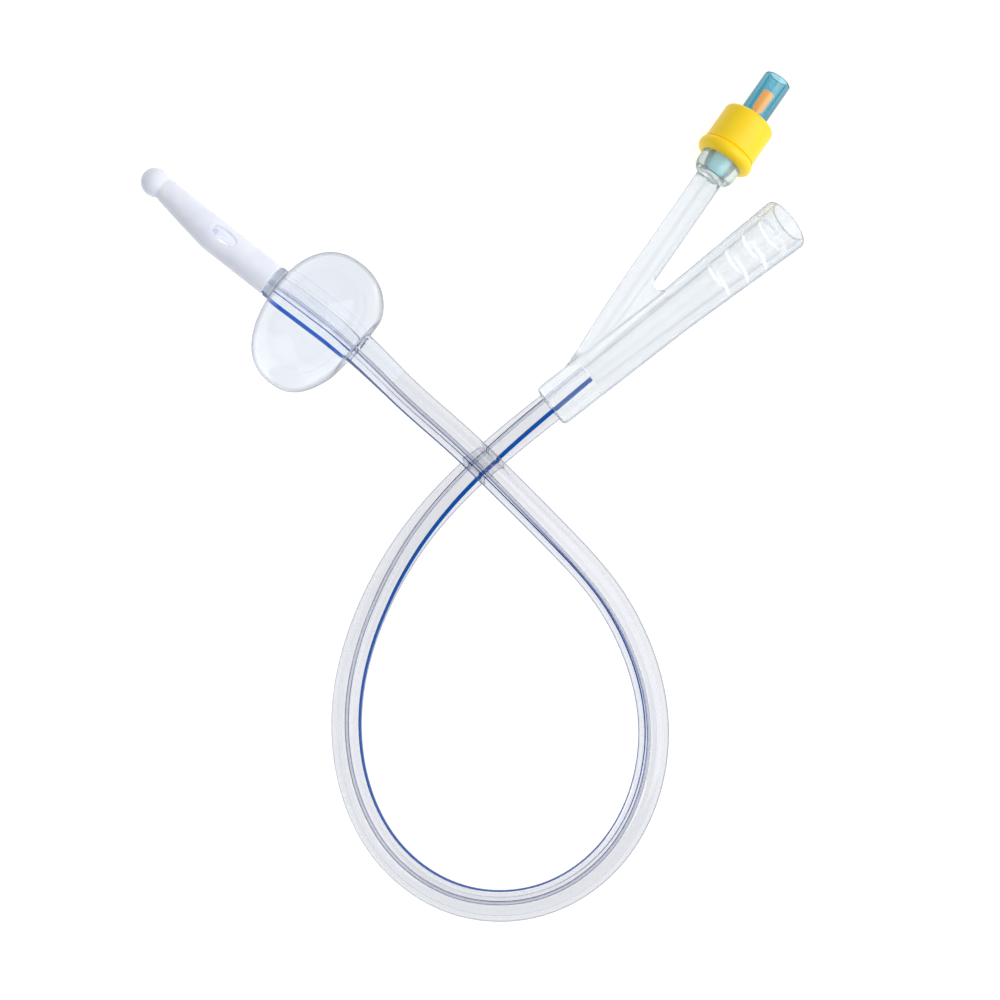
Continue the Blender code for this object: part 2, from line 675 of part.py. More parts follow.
def build_spring(material, arm_axis):
    """Steel coil between the plug and the plunger's disc."""
    radius = (SPRING_OD - SPRING_WIRE) / 2
    wire = SPRING_WIRE / 2
    low, high = PLUG_TOP + THIN_GAP + wire, DISC_FLOOR - THIN_GAP - wire
    steps = round(SPRING_TURNS * 9)
    rings = []
    for i in range(steps + 1):
        turn = math.tau * SPRING_TURNS * i / steps
        out = Vector((math.cos(turn), math.sin(turn), 0.0))
        centre = out * radius + Vector((0.0, 0.0, between(low, high, i / steps)))
        rings.append([centre + out * a + Vector((0.0, 0.0, b)) for a, b in circle(wire, 5)])
    bm = bmesh.new()
    loops = skin(bm, rings)
    bm.faces.new(loops[0])
    bm.faces.new(loops[-1])
    return add_piece("valve_spring", bm, material, arm_axis)


clear_scene()

clear_silicone = finish("clear_silicone", (0.80, 0.84, 0.90), 0.12, alpha=0.45)
frosted_silicone = finish("frosted_silicone", (0.86, 0.89, 0.93), 0.35, alpha=0.6)
white_silicone = finish("white_silicone", (0.86, 0.86, 0.93), 0.35)
blue_marker = finish("blue_marker", (0.01, 0.07, 0.45), 0.4)
yellow_plastic = finish("yellow_plastic", (0.95, 0.75, 0.02), 0.35)
teal_plastic = finish("teal_plastic", (0.05, 0.45, 0.52), 0.1, alpha=0.6)
orange_plastic = finish("orange_plastic", (0.95, 0.42, 0.12), 0.35)
grey_plastic = finish("grey_plastic", (0.75, 0.80, 0.78), 0.35)
spring_steel = finish("spring_steel", (0.6, 0.6, 0.62), 0.3, metallic=1.0)
seal_rubber = finish("seal_rubber", (0.55, 0.6, 0.6), 0.5)

arm_direction = Vector((math.cos(ARM_ANGLE), math.sin(ARM_ANGLE), 0.0))
funnel_line = add_axis("funnel_axis", SHOULDER, Vector((1.0, 0.0, 0.0)))
arm_line = add_axis("arm_axis", SHOULDER, arm_direction)
plunger_line = add_axis("plunger_axis", SHOULDER, arm_direction)

build_tip(white_silicone)
build_shaft(clear_silicone)
build_stripe(blue_marker)
build_balloon(clear_silicone)
build_funnel(frosted_silicone, funnel_line, arm_line)
build_ring(yellow_plastic, arm_line)
build_housing(teal_plastic, arm_line)
build_plug(grey_plastic, arm_line)
build_spring(spring_steel, arm_line)
build_plunger(orange_plastic, plunger_line)
build_seal(seal_rubber, plunger_line)
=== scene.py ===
# The finish of a two-way balloon catheter that lies in one loose loop on a white table.
# Lengths are in metres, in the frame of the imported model, with the table top at z = 0.

import math

import bmesh
import bpy
import numpy as np
from mathutils import Matrix, Vector


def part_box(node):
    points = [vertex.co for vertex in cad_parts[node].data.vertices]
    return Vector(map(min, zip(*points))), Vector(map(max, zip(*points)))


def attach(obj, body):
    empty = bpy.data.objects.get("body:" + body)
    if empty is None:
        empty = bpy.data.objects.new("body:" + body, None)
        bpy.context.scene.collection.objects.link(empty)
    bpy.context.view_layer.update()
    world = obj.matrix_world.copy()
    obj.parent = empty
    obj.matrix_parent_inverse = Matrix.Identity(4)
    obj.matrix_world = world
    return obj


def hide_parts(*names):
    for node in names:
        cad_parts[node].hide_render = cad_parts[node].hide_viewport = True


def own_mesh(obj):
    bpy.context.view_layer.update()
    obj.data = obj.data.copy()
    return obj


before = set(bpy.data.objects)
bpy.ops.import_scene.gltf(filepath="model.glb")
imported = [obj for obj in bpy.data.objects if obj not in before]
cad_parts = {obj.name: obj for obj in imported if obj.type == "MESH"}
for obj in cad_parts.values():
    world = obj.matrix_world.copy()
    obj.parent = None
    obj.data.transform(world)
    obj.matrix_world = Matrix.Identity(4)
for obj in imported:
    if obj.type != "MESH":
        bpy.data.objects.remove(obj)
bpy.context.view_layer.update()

# The camera: a studio camera straight above the table, turned so that the funnel points up
# and to the right. Its lens gives the photograph's scale on the table top.
CAMERA_PLACE = (-0.01708, -0.00925, 0.292)
CAMERA_TURN = math.radians(-37.87)
CAMERA_LENS = 47.09
SENSOR_WIDTH = 36.0

bpy.ops.object.camera_add(location=CAMERA_PLACE, rotation=(0.0, 0.0, CAMERA_TURN))
camera = bpy.context.object
camera.name = "studio_camera"
camera.data.lens = CAMERA_LENS
camera.data.sensor_width = SENSOR_WIDTH
camera.data.clip_start = 0.01
bpy.context.scene.camera = camera
bpy.context.scene.view_settings.view_transform = "Standard"
bpy.context.scene.view_settings.look = "None"

# Light runs a long way inside clear walls, so its path may turn many times
LIGHT_BOUNCES = 18
bpy.context.scene.cycles.max_bounces = LIGHT_BOUNCES
bpy.context.scene.cycles.transmission_bounces = LIGHT_BOUNCES
bpy.context.scene.cycles.transparent_max_bounces = LIGHT_BOUNCES

# The table and the light: a white light table, lit from below round the object only, under a
# dim tent with one softbox at the right. The dim sides draw the edges of what is clear.
TABLE_RADIUS = 3.0
PANEL_RADIUS = 0.20
PANEL_FADE = 0.60
PANEL_GLOW = 0.78
TENT_TOP = "#e6eaf0"
TENT_SIDE = "#596170"
TENT_STRENGTH = 0.85
TENT_LEAN = (0.16, -0.03, 1.0)
SOFTBOX_SIZE = 0.60
SOFTBOX_PLACE = Vector((0.34, -0.29, 0.40))
SOFTBOX_AIM = Vector((-0.017, -0.009, 0.0))
SOFTBOX_POWER = 2.3


def linear(hex_colour):
    """The linear colour, with alpha, of an sRGB hex value."""
    channels = [int(hex_colour[i : i + 2], 16) / 255 for i in (1, 3, 5)]
    return [c / 12.92 if c <= 0.04045 else ((c + 0.055) / 1.055) ** 2.4 for c in channels] + [1.0]


def add_node(tree, kind, values=None, links=None, **settings):
    """A new node with its settings, its sockets' values and the outputs linked into its sockets."""
    node = tree.nodes.new(kind)
    for name, value in settings.items():
        setattr(node, name, value)
    for socket, value in (values or {}).items():
        node.inputs[socket].default_value = value
    for socket, output in (links or {}).items():
        tree.links.new(output, node.inputs[socket])
    return node


def set_ramp(node, stops):
    """Colour stops of a ramp, as (place, hex colour) pairs."""
    ramp = node.color_ramp
    while len(ramp.elements) < len(stops):
        ramp.elements.new(0.5)
    for element, (place, colour) in zip(ramp.elements, stops):
        element.position = place
        element.color = linear(colour)


def new_material(name):
    """An empty node material and its tree."""
    made = bpy.data.materials.new(name)
    made.use_nodes = True
    made.node_tree.nodes.clear()
    return made, made.node_tree


tent = bpy.data.worlds.new("light_tent")
tent.use_nodes = True
bpy.context.scene.world = tent
tree = tent.node_tree
tree.nodes.clear()
direction = add_node(tree, "ShaderNodeTexCoord")
height = add_node(
    tree,
    "ShaderNodeVectorMath",
    values={1: TENT_LEAN},
    links={0: direction.outputs["Generated"]},
    operation="DOT_PRODUCT",
)
falloff = add_node(tree, "ShaderNodeValToRGB", links={"Fac": height.outputs["Value"]})
set_ramp(falloff, [(0.0, TENT_SIDE), (0.1, "#7d8697"), (0.25, "#c3c8d2"), (1.0, TENT_TOP)])
glow = add_node(
    tree,
    "ShaderNodeBackground",
    values={"Strength": TENT_STRENGTH},
    links={"Color": falloff.outputs["Color"]},
)
add_node(tree, "ShaderNodeOutputWorld", links={"Surface": glow.outputs["Background"]})

bpy.ops.object.light_add(type="AREA", location=SOFTBOX_PLACE)
softbox = bpy.context.object
softbox.name = "softbox"
softbox.rotation_euler = (SOFTBOX_AIM - SOFTBOX_PLACE).to_track_quat("-Z", "Y").to_euler()
softbox.data.shape = "SQUARE"
softbox.data.size = SOFTBOX_SIZE
softbox.data.energy = SOFTBOX_POWER

bpy.ops.object.select_all(action="DESELECT")
bpy.ops.mesh.primitive_circle_add(vertices=96, radius=TABLE_RADIUS, fill_type="NGON")
table = bpy.context.object
table.name = "table_top"
# Opal acrylic lit from below is an even white, which fades out well past the object
opal_acrylic, tree = new_material("opal_acrylic_panel")
place = add_node(tree, "ShaderNodeTexCoord")
distance = add_node(
    tree, "ShaderNodeVectorMath", links={0: place.outputs["Object"]}, operation="LENGTH"
)
fade = add_node(
    tree,
    "ShaderNodeMapRange",
    values={"From Min": PANEL_RADIUS, "From Max": PANEL_FADE},
    links={"Value": distance.outputs["Value"]},
    interpolation_type="SMOOTHSTEP",
)
panel = add_node(tree, "ShaderNodeValToRGB", links={"Fac": fade.outputs["Result"]})
set_ramp(panel, [(0.0, "#ffffff"), (1.0, "#6f7888")])
paint = add_node(
    tree,
    "ShaderNodeBsdfPrincipled",
    values={
        "Base Color": linear("#a2a2a2"),
        "Roughness": 0.6,
        "Specular IOR Level": 0.2,
        "Emission Strength": PANEL_GLOW,
    },
    links={"Emission Color": panel.outputs["Color"]},
)
add_node(tree, "ShaderNodeOutputMaterial", links={"Surface": paint.outputs["BSDF"]})
table.data.materials.append(opal_acrylic)

# The shaft: one length of clear silicone tube, 6.7 mm across, with a wide drainage lumen and a
# fine inflation lumen in its wall. It was extruded and cured hot, and it lies as it was dropped.
SHAFT_RADIUS = 0.00335
DRAIN_RADIUS = 0.0019
DRAIN_SHIFT = 0.00045
INFLATION_RADIUS = 0.00045
INFLATION_DEPTH = 0.0009
STRIPE_TO_INFLATION = math.radians(63)
# The stripe's angle from the top towards the loop's inside, at distances from the tip's joint
TWIST_AT = (0.0, 0.030, 0.090, 0.190, 0.275, 0.3435)
TWIST = (72.0, 76.0, 92.0, 92.0, 60.0, 11.5)
SHAFT_INSERTION = 0.0105
OUTER_SIDES = 72
DRAIN_SIDES = 40
INFLATION_SIDES = 16
STATION_STEP = 0.0016
SILICONE_IOR = 1.41
WATER_IOR = 1.333

# The balloon rests on the table. Its places on the shaft are measured from the tip's joint: its
# cuffs, and the water, whose end is pulled in by the dimple round the tube.
BALLOON_RADIUS = 0.01585
CUFF_START = 0.0003
WATER_START = 0.00224
WATER_REACH = 0.02316
DIMPLE_DEPTH = 0.0022
WATER_END = WATER_REACH - DIMPLE_DEPTH
CUFF_END = 0.0332

STRIPE_WIDTH = 0.00088
STRIPE_DEPTH = 0.00045
STRIPE_FIT = 0.00001
# Faces of the groove in each stretch of the tube's outer wall
GROOVE_FACES = 3

# Where the funnel's back end lies, and how high the tube's middle runs: on the table, under and
# over itself where it crosses, and through the balloon
FUNNEL_BACK = 0.004
CROSSING_LIFT = 0.0017
CROSSING_GAP = 0.0003
shoulder = Vector((FUNNEL_BACK, 0.0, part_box("colour_ring")[1].z / 2))
on_table = SHAFT_RADIUS
under = on_table + CROSSING_LIFT
over = under + 2 * SHAFT_RADIUS + CROSSING_GAP
balloon_height = BALLOON_RADIUS


def between(low, high, share):
    return low + (high - low) * share


# The tube's centreline as it lies, from the tip's joint to its end inside the funnel
ROUTE = (
    (-0.0266, 0.0566, balloon_height + 0.0010),
    (-0.0239, 0.0461, balloon_height + 0.0001),
    (-0.0212, 0.0356, balloon_height - 0.0008),
    (-0.0190, 0.0210, between(over, balloon_height, 0.50)),
    (-0.0163, 0.0066, between(over, balloon_height, 0.18)),
    (-0.0143, -0.0069, between(on_table, over, 0.945)),
    (-0.0122, -0.0240, between(on_table, over, 0.72)),
    (-0.0113, -0.0395, between(on_table, over, 0.46)),
    (-0.0140, -0.0550, between(on_table, over, 0.22)),
    (-0.0201, -0.0681, between(on_table, over, 0.06)),
    (-0.0294, -0.0782, on_table),
    (-0.0452, -0.0858, on_table),
    (-0.0640, -0.0845, on_table),
    (-0.0784, -0.0733, on_table),
    (-0.0842, -0.0554, on_table),
    (-0.0806, -0.0382, on_table),
    (-0.0705, -0.0233, on_table),
    (-0.0532, -0.0106, on_table),
    (-0.0387, -0.0046, between(on_table, under, 0.10)),
    (-0.0260, -0.0017, between(on_table, under, 0.42)),
    (-0.0130, -0.0004, between(under, shoulder.z, 0.15)),
    (shoulder.x, shoulder.y, shoulder.z),
    (shoulder.x + SHAFT_INSERTION, shoulder.y, shoulder.z),
)


def smooth_curve(points, steps=40):
    """Fine points along the natural cubic spline through the route's own points."""
    knots = np.array(points, dtype=float)
    span = np.linalg.norm(np.diff(knots, axis=0), axis=1)
    last = len(knots) - 1
    system = np.eye(last + 1)
    right = np.zeros((last + 1, 3))
    for i in range(1, last):
        system[i, i - 1 : i + 2] = span[i - 1], 2 * (span[i - 1] + span[i]), span[i]
        slope_in = (knots[i] - knots[i - 1]) / span[i - 1]
        slope_out = (knots[i + 1] - knots[i]) / span[i]
        right[i] = 6 * (slope_out - slope_in)
    bend = np.linalg.solve(system, right)
    fine = []
    for i in range(last):
        for share in np.arange(steps) / steps:
            done = share * span[i]
            left = span[i] - done
            cubic = (bend[i] * left**3 + bend[i + 1] * done**3) / (6 * span[i])
            line = knots[i] / span[i] - bend[i] * span[i] / 6
            next_line = knots[i + 1] / span[i] - bend[i + 1] * span[i] / 6
            fine.append(cubic + line * left + next_line * done)
    fine.append(knots[-1])
    return np.array(fine)


curve = smooth_curve(ROUTE)
curve_steps = np.linalg.norm(np.diff(curve, axis=0), axis=1)
curve_distance = np.concatenate(([0.0], np.cumsum(curve_steps)))
shaft_length = float(curve_distance[-1])


def on_route(distance):
    return Vector([float(np.interp(distance, curve_distance, curve[:, k])) for k in range(3)])


def route_frame(distance):
    """Place, direction, upward and inward normals of the tube at a distance from the tip."""
    reach = 0.0005
    ahead = on_route(min(distance + reach, shaft_length))
    behind = on_route(max(distance - reach, 0.0))
    along = (ahead - behind).normalized()
    inward = along.cross(Vector((0.0, 0.0, 1.0))).normalized()
    return on_route(distance), along, inward.cross(along), inward


def place_section(distance, section):
    """Put the points of a cross-section, given from the stripe's direction, on the route."""
    place, _, up, inward = route_frame(distance)
    turn = math.radians(float(np.interp(distance, TWIST_AT, TWIST)))
    to_stripe = up * math.cos(turn) + inward * math.sin(turn)
    across = inward * math.cos(turn) - up * math.sin(turn)
    return [place + to_stripe * a + across * b for a, b in section]


def circle(radius, sides, centre=(0.0, 0.0)):
    angles = [math.tau * i / sides for i in range(sides)]
    return [(centre[0] + radius * math.cos(a), centre[1] + radius * math.sin(a)) for a in angles]


def polar(radius, angle):
    return (radius * math.cos(angle), radius * math.sin(angle))


def stripe_section(fit, top):
    """The stripe's or its groove's outline, with a round top and a flat floor, from top to top."""
    half = STRIPE_WIDTH / 2 + fit
    floor = SHAFT_RADIUS - STRIPE_DEPTH - fit
    rise = math.sqrt(top**2 - half**2)
    return [(rise, half), (floor, half), (floor, -half), (rise, -half)]


def skin(bm, rings):
    """Bridge equal rings of points with quads and return the bmesh vertices of each ring."""
    loops = [[bm.verts.new(point) for point in ring] for ring in rings]
    for near, far in zip(loops, loops[1:]):
        for i in range(len(near)):
            j = (i + 1) % len(near)
            bm.faces.new((near[i], near[j], far[j], far[i]))
    return loops


def cap(bm, loops, facing):
    """Close a flat end whose outline and holes are the given loops of vertices."""
    edges = [bm.edges.get((loop[i], loop[i - 1])) for loop in loops for i in range(len(loop))]
    bmesh.ops.triangle_fill(bm, use_beauty=True, edges=edges, normal=facing)


def mesh_object(name, bm):
    """A named object from a bmesh with its faces turned outwards."""
    bmesh.ops.recalc_face_normals(bm, faces=bm.faces)
    mesh = bpy.data.meshes.new(name)
    bm.to_mesh(mesh)
    bm.free()
    piece = bpy.data.objects.new(name, mesh)
    bpy.context.scene.collection.objects.link(piece)
    return piece


def select_only(piece):
    bpy.ops.object.select_all(action="DESELECT")
    piece.select_set(True)
    bpy.context.view_layer.objects.active = piece


def smooth_by_angle(piece, angle=35):
    select_only(piece)
    bpy.ops.object.shade_smooth_by_angle(angle=math.radians(angle))


# A hazy wall's colour changes over this share of its turn from face on to edge on
HAZE_TURN = (0.3, 0.95)
# An index near 1 makes a face between bonded pieces neither bend light nor mirror it
BONDED_IOR = 1.01


def edge_tone(tree, face_on, edge_on, start, end):
    """A tint that deepens where a clear wall is seen edge on and light goes further through it."""
    facing = add_node(tree, "ShaderNodeLayerWeight", values={"Blend": 0.5})
    tone = add_node(tree, "ShaderNodeValToRGB", links={"Fac": facing.outputs["Facing"]})
    set_ramp(tone, [(start, face_on), (end, edge_on)])
    return tone.outputs["Color"]


def clear_finish(
    name,
    ior,
    gloss,
    tint,
    edge=None,
    rim=(0.45, 0.9),
    haze=None,
    tones=None,
    front=0.0,
    grain_mm=1.2,
    bump_mm=0.0,
):
    """A clear moulded or extruded material. Its gloss is the lowest and highest roughness.

    rim is where the edge tint starts and ends. haze is its share face on and edge on, tones its
    colours there, and front the part of it that is lit from its own side, as a matt skin is.
    """
    made, tree = new_material(name)
    place = add_node(tree, "ShaderNodeTexCoord")
    grain = add_node(
        tree,
        "ShaderNodeTexNoise",
        values={"Scale": 1000 / grain_mm, "Detail": 3.0, "Roughness": 0.5},
        links={"Vector": place.outputs["Object"]},
    )
    polish = add_node(
        tree,
        "ShaderNodeMapRange",
        values={"From Min": 0.3, "From Max": 0.7, "To Min": gloss[0], "To Max": gloss[1]},
        links={"Value": grain.outputs["Fac"]},
    )
    links = {"Roughness": polish.outputs["Result"]}
    if bump_mm:
        relief = add_node(
            tree,
            "ShaderNodeBump",
            values={"Distance": bump_mm / 1000, "Strength": 1.0},
            links={"Height": grain.outputs["Fac"]},
        )
        links["Normal"] = relief.outputs["Normal"]
    if edge:
        links["Base Color"] = edge_tone(tree, tint, edge, *rim)
    glass = add_node(
        tree,
        "ShaderNodeBsdfPrincipled",
        values={"Base Color": linear(tint), "IOR": ior, "Transmission Weight": 1.0},
        links=links,
    )
    surface = glass.outputs["BSDF"]
    if haze:
        tone = edge_tone(tree, *tones, *HAZE_TURN)
        behind = add_node(tree, "ShaderNodeBsdfTranslucent", links={"Color": tone})
        before = add_node(tree, "ShaderNodeBsdfDiffuse", links={"Color": tone})
        milk = add_node(
            tree,
            "ShaderNodeMixShader",
            values={"Fac": front},
            links={1: behind.outputs["BSDF"], 2: before.outputs["BSDF"]},
        )
        facing = add_node(tree, "ShaderNodeLayerWeight", values={"Blend": 0.5})
        share = add_node(
            tree,
            "ShaderNodeMapRange",
            values={"From Min": rim[0], "From Max": rim[1], "To Min": haze[0], "To Max": haze[1]},
            links={"Value": facing.outputs["Facing"]},
        )
        bloom = add_node(
            tree,
            "ShaderNodeMixShader",
            links={"Fac": share.outputs["Result"], 1: surface, 2: milk.outputs["Shader"]},
        )
        surface = bloom.outputs["Shader"]
    rays = add_node(tree, "ShaderNodeLightPath")
    through = add_node(tree, "ShaderNodeBsdfTransparent")
    soft = add_node(
        tree,
        "ShaderNodeMixShader",
        links={"Fac": rays.outputs["Is Shadow Ray"], 1: surface, 2: through.outputs["BSDF"]},
    )
    add_node(tree, "ShaderNodeOutputMaterial", links={"Surface": soft.outputs["Shader"]})
    return made


# Extruded silicone is clear and glossy, and looks grey where its wall is seen edge on. Against
# water it nearly vanishes, and where it is bonded to silicone it does.
clear_silicone = clear_finish(
    "extruded_clear_silicone",
    SILICONE_IOR,
    gloss=(0.03, 0.06),
    tint="#dfe0e4",
    edge="#a0a4af",
    rim=(0.55, 0.85),
    haze=(0.0, 0.65),
    tones=("#d2d4dc", "#a4a9b6"),
    bump_mm=0.001,
)
lumen_silicone = clear_finish(
    "lumen_of_clear_silicone",
    SILICONE_IOR,
    gloss=(0.01, 0.03),
    tint="#ffffff",
    edge="#7f89a4",
    rim=(0.75, 1.0),
)
wet_silicone = clear_finish(
    "silicone_under_water",
    SILICONE_IOR / WATER_IOR,
    gloss=(0.0, 0.01),
    tint="#fbfcfd",
    edge="#b4bfd0",
    rim=(0.7, 1.0),
)
bonded_silicone = clear_finish("bonded_silicone", BONDED_IOR, gloss=(0.0, 0.01), tint="#ffffff")
inflation_silicone = clear_finish(
    "inflation_lumen_of_clear_silicone",
    SILICONE_IOR,
    gloss=(0.02, 0.05),
    tint="#dcdee8",
    edge="#b9bdcb",
    rim=(0.5, 0.95),
)
lumen_in_water = clear_finish(
    "lumen_inside_the_balloon",
    SILICONE_IOR,
    gloss=(0.01, 0.03),
    tint="#fbfcff",
    edge="#5f6980",
    rim=(0.6, 0.92),
)


def shaft_outline():
    """The tube's outer outline, round with a shallow groove for the stripe at angle zero."""
    groove = stripe_section(STRIPE_FIT, SHAFT_RADIUS)
    edge = math.atan2(groove[0][1], groove[0][0])
    turns = [between(edge, math.tau - edge, i / OUTER_SIDES) for i in range(1, OUTER_SIDES)]
    return groove[::-1] + [polar(SHAFT_RADIUS, a) for a in turns]


def shaft_stations():
    """Distances of the tube's sections, with one at each change of what touches the tube."""
    marks = [0.0, CUFF_START, WATER_START, WATER_END, CUFF_END]
    marks += [shaft_length - SHAFT_INSERTION, shaft_length]
    found = [0.0]
    for start, end in zip(marks, marks[1:]):
        count = math.ceil((end - start) / STATION_STEP)
        found += [between(start, end, i / count) for i in range(1, count + 1)]
    return found


# The shaft's material slots: its outside by what it touches, then the walls of its two lumens
IN_AIR, IN_WATER, BONDED, DRAIN_WALL, INFLATION_WALL, DRAIN_IN_WATER = range(6)


def touching(distance):
    """The material slot of the shaft's outside at a distance from the tip's joint."""
    if WATER_START < distance < WATER_END:
        return IN_WATER
    in_cuff = CUFF_START < distance < CUFF_END
    in_sleeve = distance > shaft_length - SHAFT_INSERTION
    return BONDED if in_cuff or in_sleeve else IN_AIR


stations = shaft_stations()
outer = shaft_outline()
drain = circle(DRAIN_RADIUS, DRAIN_SIDES, polar(DRAIN_SHIFT, math.pi - STRIPE_TO_INFLATION))
inflation_centre = polar(SHAFT_RADIUS - INFLATION_DEPTH, -STRIPE_TO_INFLATION)
inflation = circle(INFLATION_RADIUS, INFLATION_SIDES, inflation_centre)
bm = bmesh.new()
walls = [skin(bm, [place_section(s, outer) for s in stations])]
middles = [between(a, b, 0.5) for a, b in zip(stations, stations[1:])]
bm.faces.ensure_lookup_table()
for i, face in enumerate(bm.faces):
    station, side = divmod(i, len(outer))
    face.material_index = BONDED if side < GROOVE_FACES else touching(middles[station])
walls.append(skin(bm, [place_section(s, drain) for s in stations]))
walls.append(skin(bm, [place_section(s, inflation) for s in stations]))
for i, face in enumerate(list(bm.faces)[len(outer) * len(middles) :]):
    station = i // len(drain)
    if station >= len(middles):
        face.material_index = INFLATION_WALL
    elif touching(middles[station]) == IN_WATER:
        face.material_index = DRAIN_IN_WATER
    else:
        face.material_index = DRAIN_WALL
walled = len(bm.faces)
cap(bm, [wall[0] for wall in walls], -route_frame(0.0)[1])
cap(bm, [wall[-1] for wall in walls], route_frame(shaft_length)[1])
for face in list(bm.faces)[walled:]:
    face.material_index = BONDED
shaft = mesh_object("shaft_tube", bm)
for material in (
    clear_silicone,
    wet_silicone,
    bonded_silicone,
    lumen_silicone,
    inflation_silicone,
    lumen_in_water,
):
    shaft.data.materials.append(material)
smooth_by_angle(shaft)
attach(shaft, "catheter")
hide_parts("shaft")

# The stripe: a band of blue radiopaque silicone, extruded with the tube and flush in its wall,
# so that the tube shows on an X-ray.
stripe_top = SHAFT_RADIUS + STRIPE_FIT
stripe_outline = stripe_section(0.0, stripe_top) + [(stripe_top, 0.0)]
bm = bmesh.new()
loops = skin(bm, [place_section(s, stripe_outline) for s in stations])
cap(bm, loops[:1], -route_frame(0.0)[1])
cap(bm, loops[-1:], route_frame(shaft_length)[1])
stripe = mesh_object("blue_stripe", bm)
# Pigment makes a flat dense blue with little shine. Under the balloon's water the stripe is painted
# a lighter blue: painted light, for the light that the water's lens gathers on the stripe.
blues = (("radiopaque_blue_silicone", "#004da2"), ("blue_silicone_painted_lighter_under_water", "#0c66d6"))
BLUE_PAINTED_LIGHTER = 1
for name, colour in blues:
    marker_silicone, tree = new_material(name)
    paint = add_node(
        tree,
        "ShaderNodeBsdfPrincipled",
        values={"Base Color": linear(colour), "Roughness": 0.35, "Specular IOR Level": 0.08},
    )
    add_node(tree, "ShaderNodeOutputMaterial", links={"Surface": paint.outputs["BSDF"]})
    stripe.data.materials.append(marker_silicone)
for face in list(stripe.data.polygons)[: len(stripe_outline) * len(middles)]:
    if touching(middles[face.index // len(stripe_outline)]) == IN_WATER:
        face.material_index = BLUE_PAINTED_LIGHTER
smooth_by_angle(stripe)
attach(stripe, "catheter")
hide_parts("xray_stripe")

# The tip: a white silicone moulding, bonded to the tube's end, with a ball nose that is flared
# on one side only and two opposite oval eyes.
TIP_RADIUS = 0.0036
NECK_RADIUS = 0.00255
NOSE_RADIUS = 0.0030
TIP_CYLINDER = 0.0153
TIP_TAPER = 0.0132
# The taper's rings, as shares of its length, and the power that makes it start slowly
TIP_RINGS = (0.0, 0.04, 0.12, 0.3, 0.45, 0.6, 0.75, 0.9, 1.0)
TIP_CURVE = 1.12
NOSE_AT = 0.0312
NOSE_ARC = (-40, 84)
NOSE_STEPS = 14
EYE_AT = 0.0129
EYE_HALF_LENGTH = 0.0030
EYE_RADIUS = 0.00145
EYE_TURN = math.radians(-20)
TIP_VOXEL = 0.00012
TIP_SMOOTHING = 5
ROUND_SIDES = 96
SMALL_SIDES = 64
CUTTER_SIDES = 48


def turn_upright(name, outline, sides=ROUND_SIDES, closed=False):
    """A circle extruded and resized from ring to ring up an outline of (radius, height, shift)."""
    rings = [(ring + (0.0,))[:3] for ring in outline]
    radius, height, shift = rings[0]
    bpy.ops.object.select_all(action="DESELECT")
    bpy.ops.mesh.primitive_circle_add(vertices=sides, radius=radius, location=(shift, 0.0, height))
    piece = bpy.context.object
    piece.name = name
    bpy.ops.object.mode_set(mode="EDIT")
    bpy.ops.mesh.select_all(action="SELECT")
    if not closed:
        bpy.ops.mesh.edge_face_add()
    for next_radius, next_height, next_shift in rings[1:]:
        step = (next_shift - shift, 0.0, next_height - height)
        bpy.ops.mesh.extrude_region_move(TRANSFORM_OT_translate={"value": step})
        scale = next_radius / radius
        centre = (next_shift, 0.0, next_height)
        bpy.ops.transform.resize(value=(scale, scale, 1.0), center_override=centre)
        radius, height, shift = next_radius, next_height, next_shift
    if closed:
        bpy.ops.mesh.select_all(action="DESELECT")
        bpy.ops.mesh.select_non_manifold()
        bpy.ops.mesh.bridge_edge_loops()
    bpy.ops.mesh.select_all(action="SELECT")
    bpy.ops.mesh.normals_make_consistent(inside=False)
    bpy.ops.object.mode_set(mode="OBJECT")
    return piece


def lay_along(piece, start, along, side=None):
    """Turn an upright piece so that its Z runs along a direction, with its place in its mesh."""
    if side is None:
        turn = along.to_track_quat("Z", "Y").to_matrix()
    else:
        turn = Matrix((side, along.cross(side), along)).transposed()
    piece.matrix_world = Matrix.Translation(start) @ turn.to_4x4() @ piece.matrix_world
    select_only(piece)
    bpy.ops.object.transform_apply(location=True, rotation=True, scale=True)


def cut_away(piece, tool, operation="DIFFERENCE", slot=None):
    """Cut a tool out of the piece, or join it on. The tool's faces may take a material slot."""
    if slot is not None:
        for face in tool.data.polygons:
            face.material_index = slot
    select_only(piece)
    step = piece.modifiers.new("cut", "BOOLEAN")
    step.object = tool
    step.operation = operation
    step.solver = "EXACT"
    bpy.ops.object.modifier_apply(modifier=step.name)
    bpy.data.objects.remove(tool)


def soften(piece, voxel, rounds, factor=0.5):
    """Remesh a moulding evenly and smooth it, which rounds its edges and fills its corners."""
    select_only(piece)
    step = piece.modifiers.new("remesh", "REMESH")
    step.mode = "VOXEL"
    step.voxel_size = voxel
    bpy.ops.object.modifier_apply(modifier=step.name)
    step = piece.modifiers.new("smooth", "SMOOTH")
    step.iterations = rounds
    step.factor = factor
    bpy.ops.object.modifier_apply(modifier=step.name)
    bpy.ops.object.shade_smooth()


def rounded(radius, height, corner, start, end, steps=6):
    """Points of a round corner in a turned outline, as (radius, height) pairs."""
    angles = [math.radians(between(start, end, i / steps)) for i in range(steps + 1)]
    return [(radius + corner * math.cos(a), height + corner * math.sin(a)) for a in angles]


